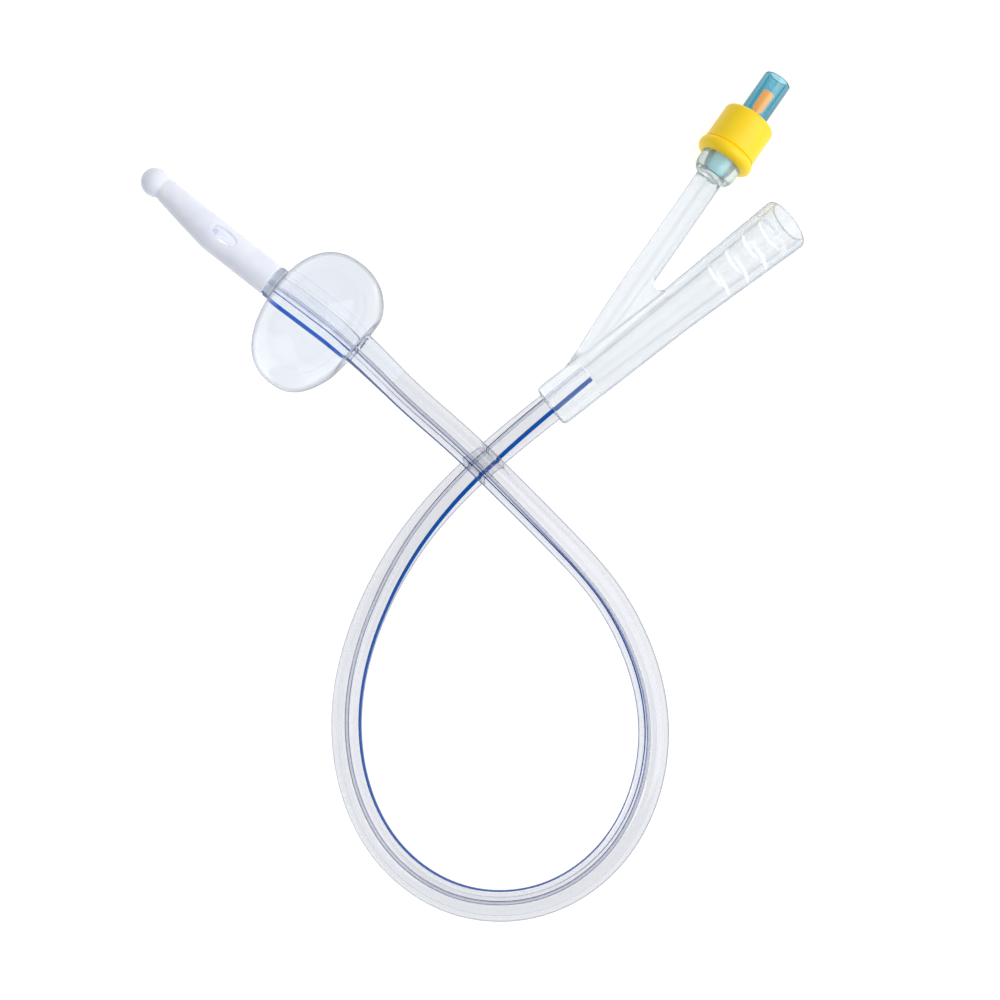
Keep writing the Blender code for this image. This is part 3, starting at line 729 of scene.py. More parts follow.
tip_rings = [(TIP_RADIUS, CUFF_START / 2, 0.0)]
for share in TIP_RINGS:
    radius = between(TIP_RADIUS, NECK_RADIUS, share**TIP_CURVE)
    tip_rings.append((radius, TIP_CYLINDER + TIP_TAPER * share, TIP_RADIUS - radius))
for radius, height in rounded(0.0, NOSE_AT, NOSE_RADIUS, *NOSE_ARC, NOSE_STEPS):
    tip_rings.append((radius, height, TIP_RADIUS - NECK_RADIUS))
tip = turn_upright("moulded_tip", tip_rings)
lumen_end = EYE_AT + EYE_HALF_LENGTH
lumen_dome = rounded(0.0, lumen_end, DRAIN_RADIUS, 0, 85, 8)
tip_lumen = turn_upright("tip_lumen", [(DRAIN_RADIUS, -TIP_RADIUS)] + lumen_dome, CUTTER_SIDES)
tip_place, tip_along, tip_up, tip_inward = route_frame(0.0)
lumen_middle = place_section(0.0, [polar(DRAIN_SHIFT, math.pi - STRIPE_TO_INFLATION)])[0]
lay_along(tip, tip_place, -tip_along, -tip_inward)
lay_along(tip_lumen, lumen_middle, -tip_along, -tip_inward)
cut_away(tip, tip_lumen)

eye_axis = tip_up * math.cos(EYE_TURN) + tip_inward * math.sin(EYE_TURN)
eye_reach = 2 * TIP_RADIUS
eye_rings = [(EYE_RADIUS, -eye_reach), (EYE_RADIUS, eye_reach)]
eyes = turn_upright("eye_cutter", eye_rings, CUTTER_SIDES)
select_only(eyes)
bpy.ops.transform.resize(value=(EYE_HALF_LENGTH / EYE_RADIUS, 1.0, 1.0))
lay_along(eyes, tip_place - tip_along * EYE_AT, eye_axis, -tip_along)
cut_away(tip, eyes)
soften(tip, TIP_VOXEL, TIP_SMOOTHING)


def opaque_finish(name, colour, shade, roughness, grain_mm, bump_mm, **values):
    """A moulded opaque material: a base colour that varies a little and a fine moulded grain."""
    made, tree = new_material(name)
    place = add_node(tree, "ShaderNodeTexCoord")
    grain = add_node(
        tree,
        "ShaderNodeTexNoise",
        values={"Scale": 1000 / grain_mm, "Detail": 4.0, "Roughness": 0.55},
        links={"Vector": place.outputs["Object"]},
    )
    cloud = add_node(
        tree,
        "ShaderNodeTexNoise",
        values={"Scale": 1000 / (grain_mm * 14), "Detail": 2.0},
        links={"Vector": place.outputs["Object"]},
    )
    tone = add_node(tree, "ShaderNodeValToRGB", links={"Fac": cloud.outputs["Fac"]})
    set_ramp(tone, [(0.3, shade), (0.7, colour)])
    relief = add_node(
        tree,
        "ShaderNodeBump",
        values={"Distance": bump_mm / 1000, "Strength": 1.0},
        links={"Height": grain.outputs["Fac"]},
    )
    paint = add_node(
        tree,
        "ShaderNodeBsdfPrincipled",
        values={"Roughness": roughness, **values},
        links={"Base Color": tone.outputs["Color"], "Normal": relief.outputs["Normal"]},
    )
    add_node(tree, "ShaderNodeOutputMaterial", links={"Surface": paint.outputs["BSDF"]})
    return made


# White silicone lets light in a little way, which softens its shadows
white_silicone = opaque_finish(
    "moulded_white_silicone",
    "#f3f4fc",
    "#ecedf6",
    roughness=0.42,
    grain_mm=0.25,
    bump_mm=0.002,
    **{
        "Subsurface Weight": 0.8,
        "Subsurface Radius": (1.0, 0.9, 0.9),
        "Subsurface Scale": 0.0013,
        "IOR": SILICONE_IOR,
    },
)
# Painted glow: an emission lights the lumen and the eye's floor, for the light that comes through
# the tip's wall
painted_glow_silicone = opaque_finish(
    "white_silicone_with_painted_glow",
    "#f4f4fb",
    "#ececf6",
    roughness=0.38,
    grain_mm=0.25,
    bump_mm=0.002,
    **{"Emission Color": linear("#e4ebf0"), "Emission Strength": 0.25, "IOR": SILICONE_IOR},
)
PAINTED_GLOW_FACES = 1
for material in (white_silicone, painted_glow_silicone):
    tip.data.materials.append(material)
for face in tip.data.polygons:
    offset = face.center - tip_place
    depth = offset.dot(-tip_along)
    from_middle = (offset + tip_along * depth).length
    if from_middle < NECK_RADIUS and depth < TIP_CYLINDER:
        face.material_index = PAINTED_GLOW_FACES
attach(tip, "catheter")
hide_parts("tip")

# The balloon: a thin sleeve of clear silicone, bonded to the tube by a cuff at each end and
# filled with water through the inflation lumen, which makes a lens of it.
BALLOON_HALF = 0.0110
BALLOON_AT = 0.0127
BALLOON_WALL = 0.0004
BALLOON_SQUARENESS = 2.3
BALLOON_LOPSIDED = 0.0015
CUFF_WALL = 0.0003
CUFF_FIT = 0.00001
CUFF_FILLET = 0.0006
CUFF_STEPS = 6
FILM_STEPS = 60
# The rear is pulled in round the tube, where its cuff holds it back
DIMPLE_RADIUS = 0.0088
DIMPLE_SLOPE = 33
DIMPLE_CURVE = 1.5
# The thin film and the water behind it bend light as one lens, so the film's inner face bends
# none and its outer face takes an index between the two.
FILM_IOR = 1.35


def film_rings(shrink, steps):
    """Radius and distance of the full balloon's wall, between its two cuffs."""
    radius = BALLOON_RADIUS - shrink
    half = BALLOON_HALF - shrink
    cuff = SHAFT_RADIUS + CUFF_FIT + CUFF_WALL - shrink * CUFF_WALL / BALLOON_WALL
    power = 2 / BALLOON_SQUARENESS
    start = math.asin((cuff / radius) ** (1 / power))
    points = []
    for i in range(steps + 1):
        turn = between(start, math.pi - start, i / steps)
        along = math.copysign(abs(math.cos(turn)) ** power, -math.cos(turn))
        across = radius * math.sin(turn) ** power
        inward = max(DIMPLE_RADIUS - across, 0.0) if along > 0 else 0.0
        dimple = DIMPLE_DEPTH * (inward / (DIMPLE_RADIUS - SHAFT_RADIUS)) ** DIMPLE_CURVE
        points.append((across, BALLOON_AT + half * along - dimple))
    return points


def lay_on_route(piece, lean):
    """Bend an upright piece along the tube: its Z becomes the distance from the tip's joint."""
    for vertex in piece.data.vertices:
        across, upward, distance = piece.matrix_world @ vertex.co
        place, _, up, inward = route_frame(distance)
        shift = lean(math.hypot(across, upward))
        vertex.co = place + up * across + inward * (upward + shift)
    piece.matrix_world = Matrix.Identity(4)


def balloon_lean(radius):
    """How far the full balloon's wall sits to one side, most where it is widest."""
    cuff = SHAFT_RADIUS + CUFF_WALL
    return BALLOON_LOPSIDED * max(radius - cuff, 0.0) / (BALLOON_RADIUS - cuff)


inside = SHAFT_RADIUS + CUFF_FIT
outside = inside + CUFF_WALL
neck = outside + CUFF_FILLET
neck_edge = neck + CUFF_FILLET * math.sin(math.radians(DIMPLE_SLOPE))
film_in = film_rings(BALLOON_WALL, FILM_STEPS)
whole_film = film_rings(0.0, FILM_STEPS)
film_out = [ring for ring in whole_film if ring[1] < BALLOON_AT and ring[0] > neck]
film_out += [ring for ring in whole_film if ring[1] >= BALLOON_AT and ring[0] > neck_edge]
front_fillet = rounded(neck, film_out[0][1] - CUFF_FILLET, CUFF_FILLET, 180, 96, 6)
rear_centre = film_out[-1][1] + CUFF_FILLET * math.cos(math.radians(DIMPLE_SLOPE))
rear_fillet = rounded(neck, rear_centre, CUFF_FILLET, 270 + DIMPLE_SLOPE, 180, 10)
taper = []
under_cuff = []
for i in range(CUFF_STEPS):
    share = (i + 1) / CUFF_STEPS
    edge = between(outside, inside + CUFF_FIT, share)
    taper.append((edge, between(rear_centre, CUFF_END, share)))
    under_cuff.append((inside, between(CUFF_END, film_in[-1][1], i / CUFF_STEPS)))

FILM, INNER_FILM, GLUED, AT_FRONT, AT_REAR, AT_NECK = range(6)
# Stretches of the outline, each with the slot of the faces that follow its points
stretches = (
    (AT_FRONT, [(inside, CUFF_START), (outside, CUFF_START)]),
    (AT_NECK, front_fillet[:-1]),
    (FILM, front_fillet[-1:] + film_out),
    (AT_NECK, rear_fillet[:-1]),
    (AT_REAR, rear_fillet[-1:] + taper),
    (GLUED, under_cuff),
    (INNER_FILM, film_in[:0:-1]),
    (GLUED, film_in[:1]),
)
rings = [ring for _, stretch in stretches for ring in stretch]
slots = [slot for slot, stretch in stretches for _ in stretch]
balloon = turn_upright("full_balloon", rings, closed=True)
for face in balloon.data.polygons:
    levels = sorted(corner // ROUND_SIDES for corner in face.vertices)
    closing = levels[-1] - levels[0] > 1
    face.material_index = slots[levels[-1] if closing else levels[0]]
lay_on_route(balloon, balloon_lean)

# A film stretched thin is clear face on and grey where it turns away from the eye
film_silicone = clear_finish(
    "clear_silicone_film_on_water",
    FILM_IOR,
    gloss=(0.0, 0.02),
    tint="#e2e6eb",
    edge="#7f8799",
    rim=(0.66, 0.97),
    haze=(0.0, 0.65),
    tones=("#d5d9e2", "#8a91a2"),
)
# The film's inner face is wet, so the eye doesn't see it
film_inside, tree = new_material("film_face_on_water")
skin_under_water = add_node(
    tree, "ShaderNodeBsdfPrincipled", values={"Base Color": linear("#eef3f6"), "Alpha": 0.0}
)
add_node(tree, "ShaderNodeOutputMaterial", links={"Surface": skin_under_water.outputs["BSDF"]})
# The front cuff and the tip's end are glued over the tube, which makes them grey and milky
front_cuff = clear_finish(
    "bonded_front_cuff",
    SILICONE_IOR,
    gloss=(0.10, 0.14),
    tint="#c3ccd8",
    edge="#8f9ab0",
    haze=(0.55, 0.8),
    tones=("#c3ccd8", "#98a3b8"),
    front=0.4,
)
# The rear cuff lies tight on the tube and stays as clear as it
rear_cuff = clear_finish(
    "bonded_rear_cuff",
    SILICONE_IOR,
    gloss=(0.03, 0.05),
    tint="#e3e6ec",
    edge="#aab2c2",
    rim=(0.55, 0.85),
    haze=(0.0, 0.65),
    tones=("#cfd5de", "#98a3b4"),
)
# Glue fills the neck between film and cuff, which makes it the palest
bonded_neck = clear_finish(
    "bonded_neck",
    SILICONE_IOR,
    gloss=(0.10, 0.14),
    tint="#eef1f5",
    edge="#c9cfda",
    haze=(0.45, 0.7),
    tones=("#eff2f6", "#cbd1dc"),
    front=0.4,
)
for material in (film_silicone, film_inside, bonded_silicone, front_cuff, rear_cuff, bonded_neck):
    balloon.data.materials.append(material)
smooth_by_angle(balloon, angle=50)
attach(balloon, "catheter")
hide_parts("balloon")

# The funnel: one frosted silicone moulding, with a sleeve for the tube, a tapered drainage bore
# that steps out at its mouth, and a side arm that ends in a bulb for the valve.
SLEEVE_RADIUS = 0.0050
FLARE_AT = 0.0340
FUNNEL_LENGTH = 0.0657
MOUTH_RADIUS = 0.00605
FUNNEL_ROUNDING = 0.0009
SOCKET_RADIUS = SHAFT_RADIUS + CUFF_FIT
BORE_START = 0.0021
BORE_END = 0.00305
# The bore's steps, as their depth from the mouth and their radius, widen a little outwards
BORE_STEPS = ((0.0202, 0.00335), (0.0151, 0.00365), (0.0103, 0.0040), (0.0051, 0.0047))
BORE_TAPER = 0.0001
STEP_SLOPE = 0.0006
# A face of the bore is on a step where its normal leans along the bore by more than this
STEP_LEAN = 0.3
ARM_ANGLE = math.radians(17.3)
ARM_RADIUS = 0.00305
ARM_ROOT_RADIUS = 0.0024
ARM_ROOT_AT = 0.0130
ARM_FULL_AT = 0.0350
ARM_STEPS = 8
ARM_LUMEN_RADIUS = 0.0011
ARM_LUMEN_SHIFT = 0.0005
ARM_LUMEN_SIDES = 32
LUMEN_START = 0.0075
CROTCH_AT = 0.0351
CROTCH_STEPS = 16
WEB_THICKNESS = 0.0044
BULB_RADIUS = 0.00475
BULB_START = 0.0610
BULB_SHOULDER = 0.0026
BULB_BLEND = 0.0005
RING_AT = 0.0653
RING_LENGTH = 0.0113
RING_TOP = 0.0010
HOUSING_END = 0.0619
VALVE_RADIUS = 0.0032
JOINT_GAP = 0.0003
SOCKET_CONE = 0.001
FUNNEL_VOXEL = 0.00028
FUNNEL_SMOOTHING = 14
CUT_PAST = 0.001
VALVE_CHAMFER = 0.0003
BARBS_AT = (0.0022, 0.0052)
BARB_LENGTH = 0.0010
BARB_RISE = 0.0002
# Share of a barb's length where it is highest, and the length of its steep back
BARB_CREST = 0.85
BARB_BACK = 0.00005
# The moulding's material slots
BODY, BORE, STEP, BULB, TUBE_SOCKET, SLEEVE = range(6)

funnel_along = Vector((1.0, 0.0, 0.0))
arm_along = Vector((math.cos(ARM_ANGLE), math.sin(ARM_ANGLE), 0.0))

sleeve_back = rounded(SLEEVE_RADIUS - FUNNEL_ROUNDING, FUNNEL_ROUNDING, FUNNEL_ROUNDING, -90, 0)
mouth_front = rounded(
    MOUTH_RADIUS - FUNNEL_ROUNDING, FUNNEL_LENGTH - FUNNEL_ROUNDING, FUNNEL_ROUNDING, 0, 90
)
funnel = turn_upright("frosted_funnel", sleeve_back + [(SLEEVE_RADIUS, FLARE_AT)] + mouth_front)
lay_along(funnel, shoulder, funnel_along)

arm_rings = [(ARM_ROOT_RADIUS, SLEEVE_RADIUS - ARM_ROOT_RADIUS / 2)]
for i in range(ARM_STEPS + 1):
    share = i / ARM_STEPS
    width = between(ARM_ROOT_RADIUS, ARM_RADIUS, math.sin(math.pi / 2 * share))
    arm_rings.append((width, between(ARM_ROOT_AT, ARM_FULL_AT, share)))
for i in range(ARM_STEPS + 1):
    turn = math.pi / 2 * i / ARM_STEPS
    flare = BULB_START + BULB_SHOULDER * (1 - math.cos(turn))
    arm_rings.append((between(ARM_RADIUS, BULB_RADIUS, math.sin(turn)), flare))
bulb_end = RING_AT + RING_LENGTH - RING_TOP - JOINT_GAP
arm_rings.append((BULB_RADIUS, bulb_end))
arm = turn_upright("arm", arm_rings, SMALL_SIDES)
lay_along(arm, shoulder, arm_along)
cut_away(funnel, arm, "UNION")

share = (CROTCH_AT - FLARE_AT) / (FUNNEL_LENGTH - FLARE_AT)
crotch_side = between(SLEEVE_RADIUS, MOUTH_RADIUS, share)
fork = CROTCH_AT * math.sin(ARM_ANGLE) - crotch_side * math.cos(ARM_ANGLE) - ARM_RADIUS
crotch_radius = fork / (1 + math.cos(ARM_ANGLE))
crotch_centre = Vector((CROTCH_AT, crotch_side + crotch_radius, 0.0))
web_outline = [Vector((ARM_ROOT_AT, 0.0, 0.0)), Vector((CROTCH_AT, 0.0, 0.0))]
for i in range(CROTCH_STEPS + 1):
    turn = between(-math.pi / 2, ARM_ANGLE - math.pi * 1.5, i / CROTCH_STEPS)
    out = Vector((math.cos(turn), math.sin(turn), 0.0))
    web_outline.append(crotch_centre + out * crotch_radius)
web_outline.append(Vector((CROTCH_AT, CROTCH_AT * math.tan(ARM_ANGLE), 0.0)))
web_outline.append(Vector((ARM_ROOT_AT, ARM_ROOT_AT * math.tan(ARM_ANGLE), 0.0)))
lift = Vector((0.0, 0.0, WEB_THICKNESS / 2))
bm = bmesh.new()
web_floor = [shoulder + point - lift for point in web_outline]
web_top = [shoulder + point + lift for point in web_outline]
loops = skin(bm, [web_floor, web_top])
bm.faces.new(loops[0])
bm.faces.new(loops[1])
web = mesh_object("web", bm)
cut_away(funnel, web, "UNION")
soften(funnel, FUNNEL_VOXEL, FUNNEL_SMOOTHING)

socket_end = SHAFT_INSERTION + JOINT_GAP
bore_rings = [(SOCKET_RADIUS, -CUT_PAST), (SOCKET_RADIUS, socket_end), (BORE_START, socket_end)]
before = BORE_END
for depth, radius in BORE_STEPS:
    start = FUNNEL_LENGTH - depth
    bore_rings += [(before, start), (radius, start + STEP_SLOPE)]
    before = radius + BORE_TAPER
bore_rings.append((before, FUNNEL_LENGTH + CUT_PAST))
bore = turn_upright("funnel_bore", bore_rings)
lay_along(bore, shoulder, funnel_along)
for face in bore.data.polygons:
    if face.center.x < shoulder.x + socket_end + CUFF_FIT:
        face.material_index = TUBE_SOCKET
    else:
        face.material_index = STEP if abs(face.normal.x) > STEP_LEAN else BORE
cut_away(funnel, bore)


def barbed(radius):
    """Outline of the valve's lower end and of its socket, with the two barbs that grip the bulb."""
    rings = [(radius - VALVE_CHAMFER, HOUSING_END), (radius, HOUSING_END + VALVE_CHAMFER)]
    for at in BARBS_AT:
        foot = HOUSING_END + at
        top = foot + BARB_LENGTH
        rings += [(radius, foot), (radius + BARB_RISE, foot + BARB_LENGTH * BARB_CREST)]
        rings += [(radius + BARB_RISE, top), (radius, top + BARB_BACK)]
    return rings


socket_radius = VALVE_RADIUS + CUFF_FIT
socket_floor = HOUSING_END - JOINT_GAP
socket_rings = [(ARM_LUMEN_RADIUS, socket_floor - SOCKET_CONE)]
socket_rings += [(socket_radius - VALVE_CHAMFER, socket_floor)]
socket_rings += barbed(socket_radius) + [(socket_radius, bulb_end + CUT_PAST)]
socket = turn_upright("valve_socket", socket_rings)
lay_along(socket, shoulder, arm_along)
cut_away(funnel, socket, slot=BORE)

to_crotch = Vector((math.sin(ARM_ANGLE), -math.cos(ARM_ANGLE), 0.0))
lumen_rings = [(ARM_LUMEN_RADIUS, LUMEN_START), (ARM_LUMEN_RADIUS, HOUSING_END)]
arm_lumen = turn_upright("arm_lumen", lumen_rings, ARM_LUMEN_SIDES)
lay_along(arm_lumen, shoulder + to_crotch * ARM_LUMEN_SHIFT, arm_along)
cut_away(funnel, arm_lumen, slot=BORE)
smooth_by_angle(funnel, angle=40)

# A blasted mould leaves a matt skin, which makes the clear rubber pale and milky
frosted_silicone = clear_finish(
    "frosted_moulded_silicone",
    SILICONE_IOR,
    gloss=(0.09, 0.13),
    tint="#eff2f3",
    edge="#9caab7",
    rim=(0.5, 0.9),
    haze=(0.28, 0.75),
    tones=("#f5f6f7", "#a3b1be"),
    front=0.2,
    grain_mm=0.6,
    bump_mm=0.001,
)
# The bore was moulded on a polished pin, so it is smooth and shows as fine blue-grey lines
bore_silicone = clear_finish(
    "moulded_bore_of_silicone", SILICONE_IOR, gloss=(0.03, 0.05), tint="#fafbfc", edge="#7488a2"
)
# Painted glow: an emission stands in for the light that runs in the wall and comes out at the
# steps, which makes them the palest lines
step_silicone_with_painted_glow = opaque_finish(
    "moulded_step_of_silicone_with_painted_glow",
    "#ffffff",
    "#fafcfd",
    roughness=0.4,
    grain_mm=0.3,
    bump_mm=0.001,
    **{"Emission Color": linear("#f6fafc"), "Emission Strength": 0.35},
)
# The bulb is stretched over the valve, whose teal gives its skin a green tint
bulb_silicone = clear_finish(
    "frosted_bulb_of_silicone",
    SILICONE_IOR,
    gloss=(0.06, 0.10),
    tint="#eef8f3",
    edge="#b9cac2",
    haze=(0.32, 0.7),
    tones=("#f0faf5", "#c6d6cd"),
    front=0.9,
    grain_mm=0.6,
    bump_mm=0.001,
)
# The sleeve is glued to the tube, so its skin is the clearest of the moulding
sleeve_silicone = clear_finish(
    "clear_sleeve_of_silicone",
    SILICONE_IOR,
    gloss=(0.09, 0.13),
    tint="#eef1f2",
    edge="#9caab7",
    rim=(0.5, 0.9),
    haze=(0.18, 0.65),
    tones=("#f2f3f5", "#a8b4c0"),
    front=0.2,
)
for face in funnel.data.polygons:
    offset = face.center - shoulder
    past_arm = offset.dot(arm_along) > BULB_START - BULB_BLEND
    near_arm = abs(offset.dot(to_crotch)) < 2 * BULB_RADIUS
    if face.material_index == BODY and past_arm and near_arm:
        face.material_index = BULB
    elif face.material_index == BODY and offset.x < socket_end:
        face.material_index = SLEEVE
for material in (
    frosted_silicone,
    bore_silicone,
    step_silicone_with_painted_glow,
    bulb_silicone,
    bonded_silicone,
    sleeve_silicone,
):
    funnel.data.materials.append(material)
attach(funnel, "catheter")
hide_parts("y_funnel")

# The colour ring: a cap of yellow silicone rubber, moulded with a bead round its lower edge and
# pushed over the bulb. Its colour tells the tube's gauge.
RING_RADIUS = 0.0060
RING_ROUNDING = 0.0010
RING_FIT = 0.00005
RING_HOLE_ROUNDING = 0.0003
BEAD_RADIUS = 0.00655
BEAD_LENGTH = 0.0030
BEAD_FILLET = 0.0006


def turn_on_arm(name, outline, smooth, sides=ROUND_SIDES, closed=True):
    """A turned piece that lies along the arm, smooth over edges up to an angle in degrees."""
    piece = turn_upright(name, outline, sides, closed)
    lay_along(piece, shoulder, arm_along)
    smooth_by_angle(piece, smooth)
    return piece


ring_inner = BULB_RADIUS + RING_FIT
ring_hole = VALVE_RADIUS + RING_FIT
ring_top = RING_AT + RING_LENGTH
half_bead = BEAD_LENGTH / 2
ring_rings = [(ring_inner, RING_AT)]
ring_rings += rounded(BEAD_RADIUS - half_bead, RING_AT + half_bead, half_bead, -90, 60, 12)
fillet_at = RING_AT + BEAD_LENGTH + BEAD_FILLET / 2
ring_rings += rounded(RING_RADIUS + BEAD_FILLET, fillet_at, BEAD_FILLET, 215, 180, 4)
corner = RING_ROUNDING
ring_rings += rounded(RING_RADIUS - corner, ring_top - corner, corner, 0, 90, 8)
corner = RING_HOLE_ROUNDING
ring_rings += rounded(ring_hole + corner, ring_top - corner, corner, 90, 180, 4)
ring_rings += [(ring_hole, ring_top - RING_TOP), (ring_inner, ring_top - RING_TOP)]
ring = turn_on_arm("yellow_ring", ring_rings, smooth=40)
# Painted glow: a faint yellow emission keeps the rubber's shaded side warm and bright
yellow_rubber = opaque_finish(
    "moulded_yellow_rubber",
    "#fcd604",
    "#fad000",
    roughness=0.42,
    grain_mm=0.3,
    bump_mm=0.004,
    **{"Emission Color": linear("#ffd21e"), "Emission Strength": 0.1},
)
ring.data.materials.append(yellow_rubber)
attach(ring, "catheter")
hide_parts("colour_ring")

# The valve's housing: a tube of clear teal plastic, injection moulded with a cone for the
# syringe, a seat and a spring chamber. It is pushed into the bulb, where two barbs hold it.
MOUTH = 0.0869
VALVE_ROUNDING = 0.0003
SYRINGE_RADIUS = 0.00215
SYRINGE_DEPTH = 0.0094
SYRINGE_TAPER = 0.06
SEAT_RADIUS = 0.0015
SEAT_THICKNESS = 0.0010
CHAMBER_RADIUS = 0.0023
TEAL = "#3fd1de"
TEAL_DENSITY = 760.0
CLEAR_PLASTIC_IOR = 1.53

rim = VALVE_ROUNDING
seat_top = MOUTH - SYRINGE_DEPTH
seat_floor = seat_top - SEAT_THICKNESS
housing_rings = [(CHAMBER_RADIUS, HOUSING_END)] + barbed(VALVE_RADIUS)
housing_rings += rounded(VALVE_RADIUS - rim, MOUTH - rim, rim, 0, 90, 5)
housing_rings += rounded(SYRINGE_RADIUS + rim / 2, MOUTH - rim / 2, rim / 2, 90, 180, 3)
housing_rings += [(SYRINGE_RADIUS - SYRINGE_TAPER * SYRINGE_DEPTH / 2, seat_top)]
housing_rings += [(SEAT_RADIUS, seat_top), (SEAT_RADIUS, seat_floor), (CHAMBER_RADIUS, seat_floor)]
housing = turn_on_arm("teal_housing", housing_rings, smooth=40)
# Dyed clear plastic is palest where the wall is thin and deepest where it is seen edge on
teal_plastic = clear_finish(
    "clear_teal_plastic",
    CLEAR_PLASTIC_IOR,
    gloss=(0.01, 0.03),
    tint="#dff1f5",
    edge="#0a7089",
    rim=(0.3, 0.8),
)
absorbs = add_node(
    teal_plastic.node_tree,
    "ShaderNodeVolumeAbsorption",
    values={"Color": linear(TEAL), "Density": TEAL_DENSITY},
)
for node in list(teal_plastic.node_tree.nodes):
    if node.bl_idname == "ShaderNodeOutputMaterial":
        teal_plastic.node_tree.links.new(absorbs.outputs["Volume"], node.inputs["Volume"])
housing.data.materials.append(teal_plastic)
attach(housing, "catheter")
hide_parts("valve_housing")

# The plunger: moulded in orange plastic with a round head for the syringe's tip, a neck through
# the seat, a disc that the spring lifts and a tail that slides in the plug.
THIN_GAP = 0.00015
SEAL_RADIUS = 0.0020
SEAL_THICKNESS = 0.0008
DISC_RADIUS = 0.0019
DISC_THICKNESS = 0.0010
HEAD_RADIUS = 0.00125
HEAD_TOP = 0.0832
HEAD_LENGTH = 0.0042
HEAD_CONE = 0.0008
HOLLOW_RIM = 0.0006875
HOLLOW_FLOOR = 0.0005
NECK_ROD_RADIUS = 0.00075
TAIL_RADIUS = 0.0006
TAIL_IN_PLUG = 0.000925
SPRING_ROOM = 0.004675
MOULD_ROUNDING = 0.00015

seal_top = seat_floor - THIN_GAP
disc_top = seal_top - SEAL_THICKNESS - THIN_GAP / 2
disc_floor = disc_top - DISC_THICKNESS
plug_top = disc_floor - SPRING_ROOM
soft = MOULD_ROUNDING
plunger_rings = rounded(TAIL_RADIUS - soft, plug_top - TAIL_IN_PLUG + soft, soft, -80, 0, 4)
plunger_rings += [(TAIL_RADIUS, disc_floor)]
plunger_rings += rounded(DISC_RADIUS - soft, disc_floor + soft, soft, -90, 0, 4)
plunger_rings += rounded(DISC_RADIUS - soft, disc_top - soft, soft, 0, 90, 4)
head_floor = HEAD_TOP - HEAD_LENGTH
plunger_rings += [(NECK_ROD_RADIUS, disc_top), (NECK_ROD_RADIUS, head_floor - HEAD_CONE)]
plunger_rings += [(HEAD_RADIUS, head_floor)]
plunger_rings += rounded(HEAD_RADIUS - soft, HEAD_TOP - soft, soft, 0, 90, 4)
plunger_rings += [(HOLLOW_RIM, HEAD_TOP), (HOLLOW_FLOOR, HEAD_TOP - soft)]
plunger = turn_on_arm("orange_plunger", plunger_rings, smooth=35, sides=SMALL_SIDES, closed=False)
# Painted glow: a strong emission makes the plunger glow orange, standing in for the light that the
# clear housing gathers on it
orange_plastic = opaque_finish(
    "moulded_orange_plastic",
    "#fca04a",
    "#f7973f",
    roughness=0.4,
    grain_mm=0.3,
    bump_mm=0.003,
    **{"Emission Color": linear("#ff6f28"), "Emission Strength": 2.7},
)
plunger.data.materials.append(orange_plastic)
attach(plunger, "plunger")
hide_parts("valve_plunger")

# The seal: a soft washer of moulded rubber, pushed over the plunger's head onto its neck. The
# spring presses it against the seat, and it opens when a syringe pushes the plunger in.
seal_hole = NECK_ROD_RADIUS + THIN_GAP
seal_floor = seal_top - SEAL_THICKNESS
seal_rings = [(seal_hole, seal_floor)]
seal_rings += rounded(SEAL_RADIUS - 2 * soft, seal_floor + 2 * soft, 2 * soft, -90, 0, 5)
seal_rings += rounded(SEAL_RADIUS - 2 * soft, seal_top - 2 * soft, 2 * soft, 0, 90, 5)
seal_rings += [(seal_hole, seal_top)]
seal = turn_on_arm("grey_seal", seal_rings, smooth=50, sides=SMALL_SIDES)
# Filled rubber is dull, so the seal is a flat grey band
seal_rubber = opaque_finish(
    "moulded_grey_rubber",
    "#a4adac",
    "#98a2a0",
    roughness=0.6,
    grain_mm=0.2,
    bump_mm=0.003,
)
seal.data.materials.append(seal_rubber)
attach(seal, "plunger")
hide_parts("valve_seal")

# The plug: a pierced moulding pressed into the housing's lower end. Its nose is narrower, so
# that it starts easily, and the spring stands on its top.
PLUG_BORE_RADIUS = 0.0010
PLUG_NOSE_RADIUS = 0.0017
PLUG_NOSE_LENGTH = 0.0008

plug_radius = CHAMBER_RADIUS - THIN_GAP
plug_rings = [(PLUG_BORE_RADIUS, HOUSING_END), (PLUG_NOSE_RADIUS, HOUSING_END)]
plug_rings += [(plug_radius, HOUSING_END + PLUG_NOSE_LENGTH)]
plug_rings += rounded(plug_radius - soft, plug_top - soft, soft, 0, 90, 4)
plug_rings += [(PLUG_BORE_RADIUS + soft, plug_top), (PLUG_BORE_RADIUS, plug_top - soft)]
plug = turn_on_arm("pierced_plug", plug_rings, smooth=35, sides=SMALL_SIDES)
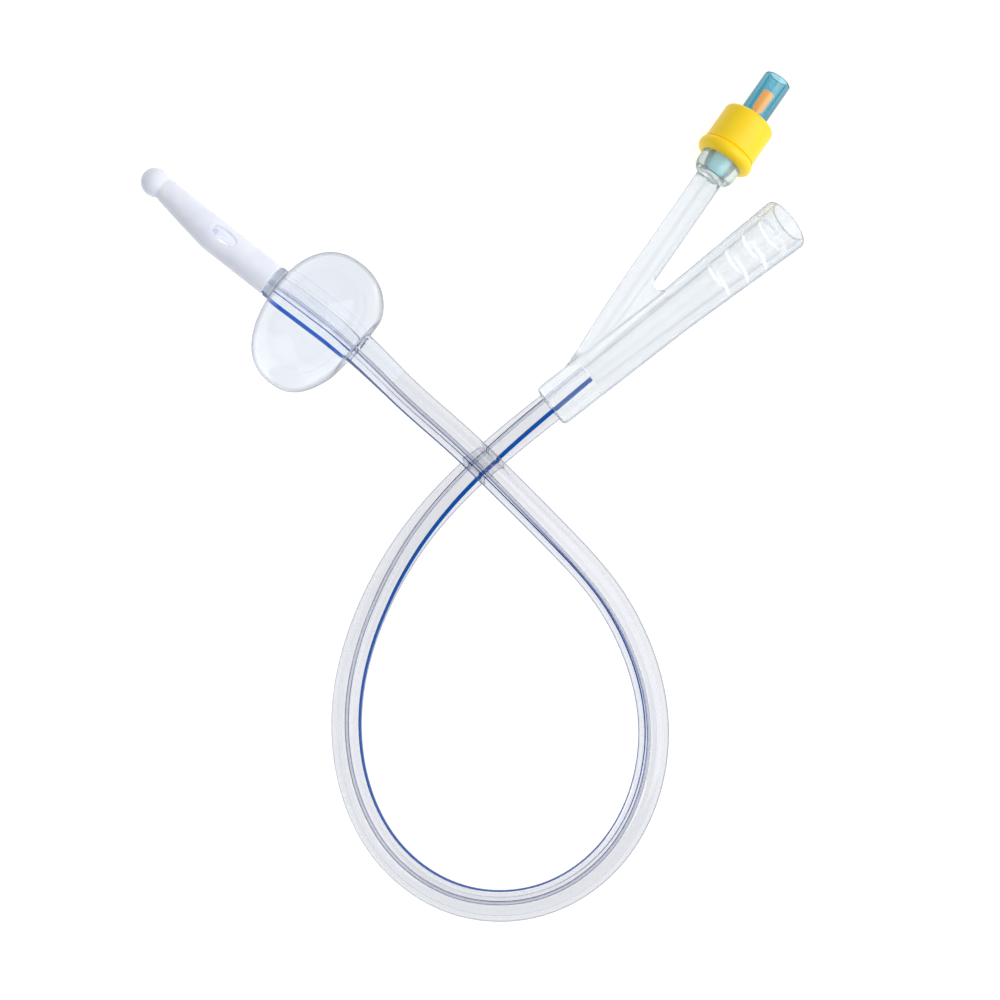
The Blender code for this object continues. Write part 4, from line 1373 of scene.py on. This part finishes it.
# Pale plastic with a painted glow: an emission stands in for the light that the clear walls round
# it let in from all sides, so it has no dark side
grey_plastic = opaque_finish(
    "moulded_grey_plastic",
    "#e9f3ee",
    "#dde9e3",
    roughness=0.4,
    grain_mm=0.3,
    bump_mm=0.003,
    **{"Emission Color": linear("#dff3ea"), "Emission Strength": 0.5},
)
plug.data.materials.append(grey_plastic)
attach(plug, "catheter")
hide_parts("valve_plug")

# The spring: stainless wire wound on a lathe, with its end turns closer than the others. It
# holds the disc and its seal against the seat, and shortens when a syringe presses the plunger.
WIRE_RADIUS = 0.000175
SPRING_RADIUS = 0.0018
SPRING_TURNS = 4.5
STEPS_A_TURN = 36
WIRE_SIDES = 10
# The pitch is smaller than its mean by this share at the ends, and larger by it in the middle
PITCH_SWING = 0.48

spring_low = plug_top + THIN_GAP
spring_high = disc_floor - THIN_GAP
across_arm = arm_along.cross(Vector((0.0, 0.0, 1.0)))
upward = across_arm.cross(arm_along)
coil_radius = SPRING_RADIUS - WIRE_RADIUS


def coil_point(share):
    """Middle of the wire at a share of its length, and the direction out from the axis there."""
    turn = math.tau * SPRING_TURNS * share
    rise = share - PITCH_SWING * math.sin(math.tau * share) / math.tau
    height = between(spring_low + WIRE_RADIUS, spring_high - WIRE_RADIUS, rise)
    out = across_arm * math.cos(turn) + upward * math.sin(turn)
    return shoulder + arm_along * height + out * coil_radius, out


bm = bmesh.new()
wire_rings = []
wire_section = circle(WIRE_RADIUS, WIRE_SIDES)
wire_steps = round(SPRING_TURNS * STEPS_A_TURN)
for i in range(wire_steps + 1):
    middle, out = coil_point(i / wire_steps)
    ahead, _ = coil_point(min((i + 0.5) / wire_steps, 1.0))
    behind, _ = coil_point(max((i - 0.5) / wire_steps, 0.0))
    side = (ahead - behind).normalized().cross(out)
    wire_rings.append([middle + out * a + side * b for a, b in wire_section])
loops = skin(bm, wire_rings)
bm.faces.new(loops[0])
bm.faces.new(loops[-1])
spring = mesh_object("wire_spring", bm)
smooth_by_angle(spring, angle=50)
# Drawn wire is smooth and bright, with thin sharp highlights along each turn
spring_steel = opaque_finish(
    "drawn_spring_steel",
    "#c9cacc",
    "#b8babd",
    roughness=0.25,
    grain_mm=0.1,
    bump_mm=0.001,
    Metallic=1.0,
)
spring.data.materials.append(spring_steel)
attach(spring, "catheter")
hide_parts("valve_spring")
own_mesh(spring)

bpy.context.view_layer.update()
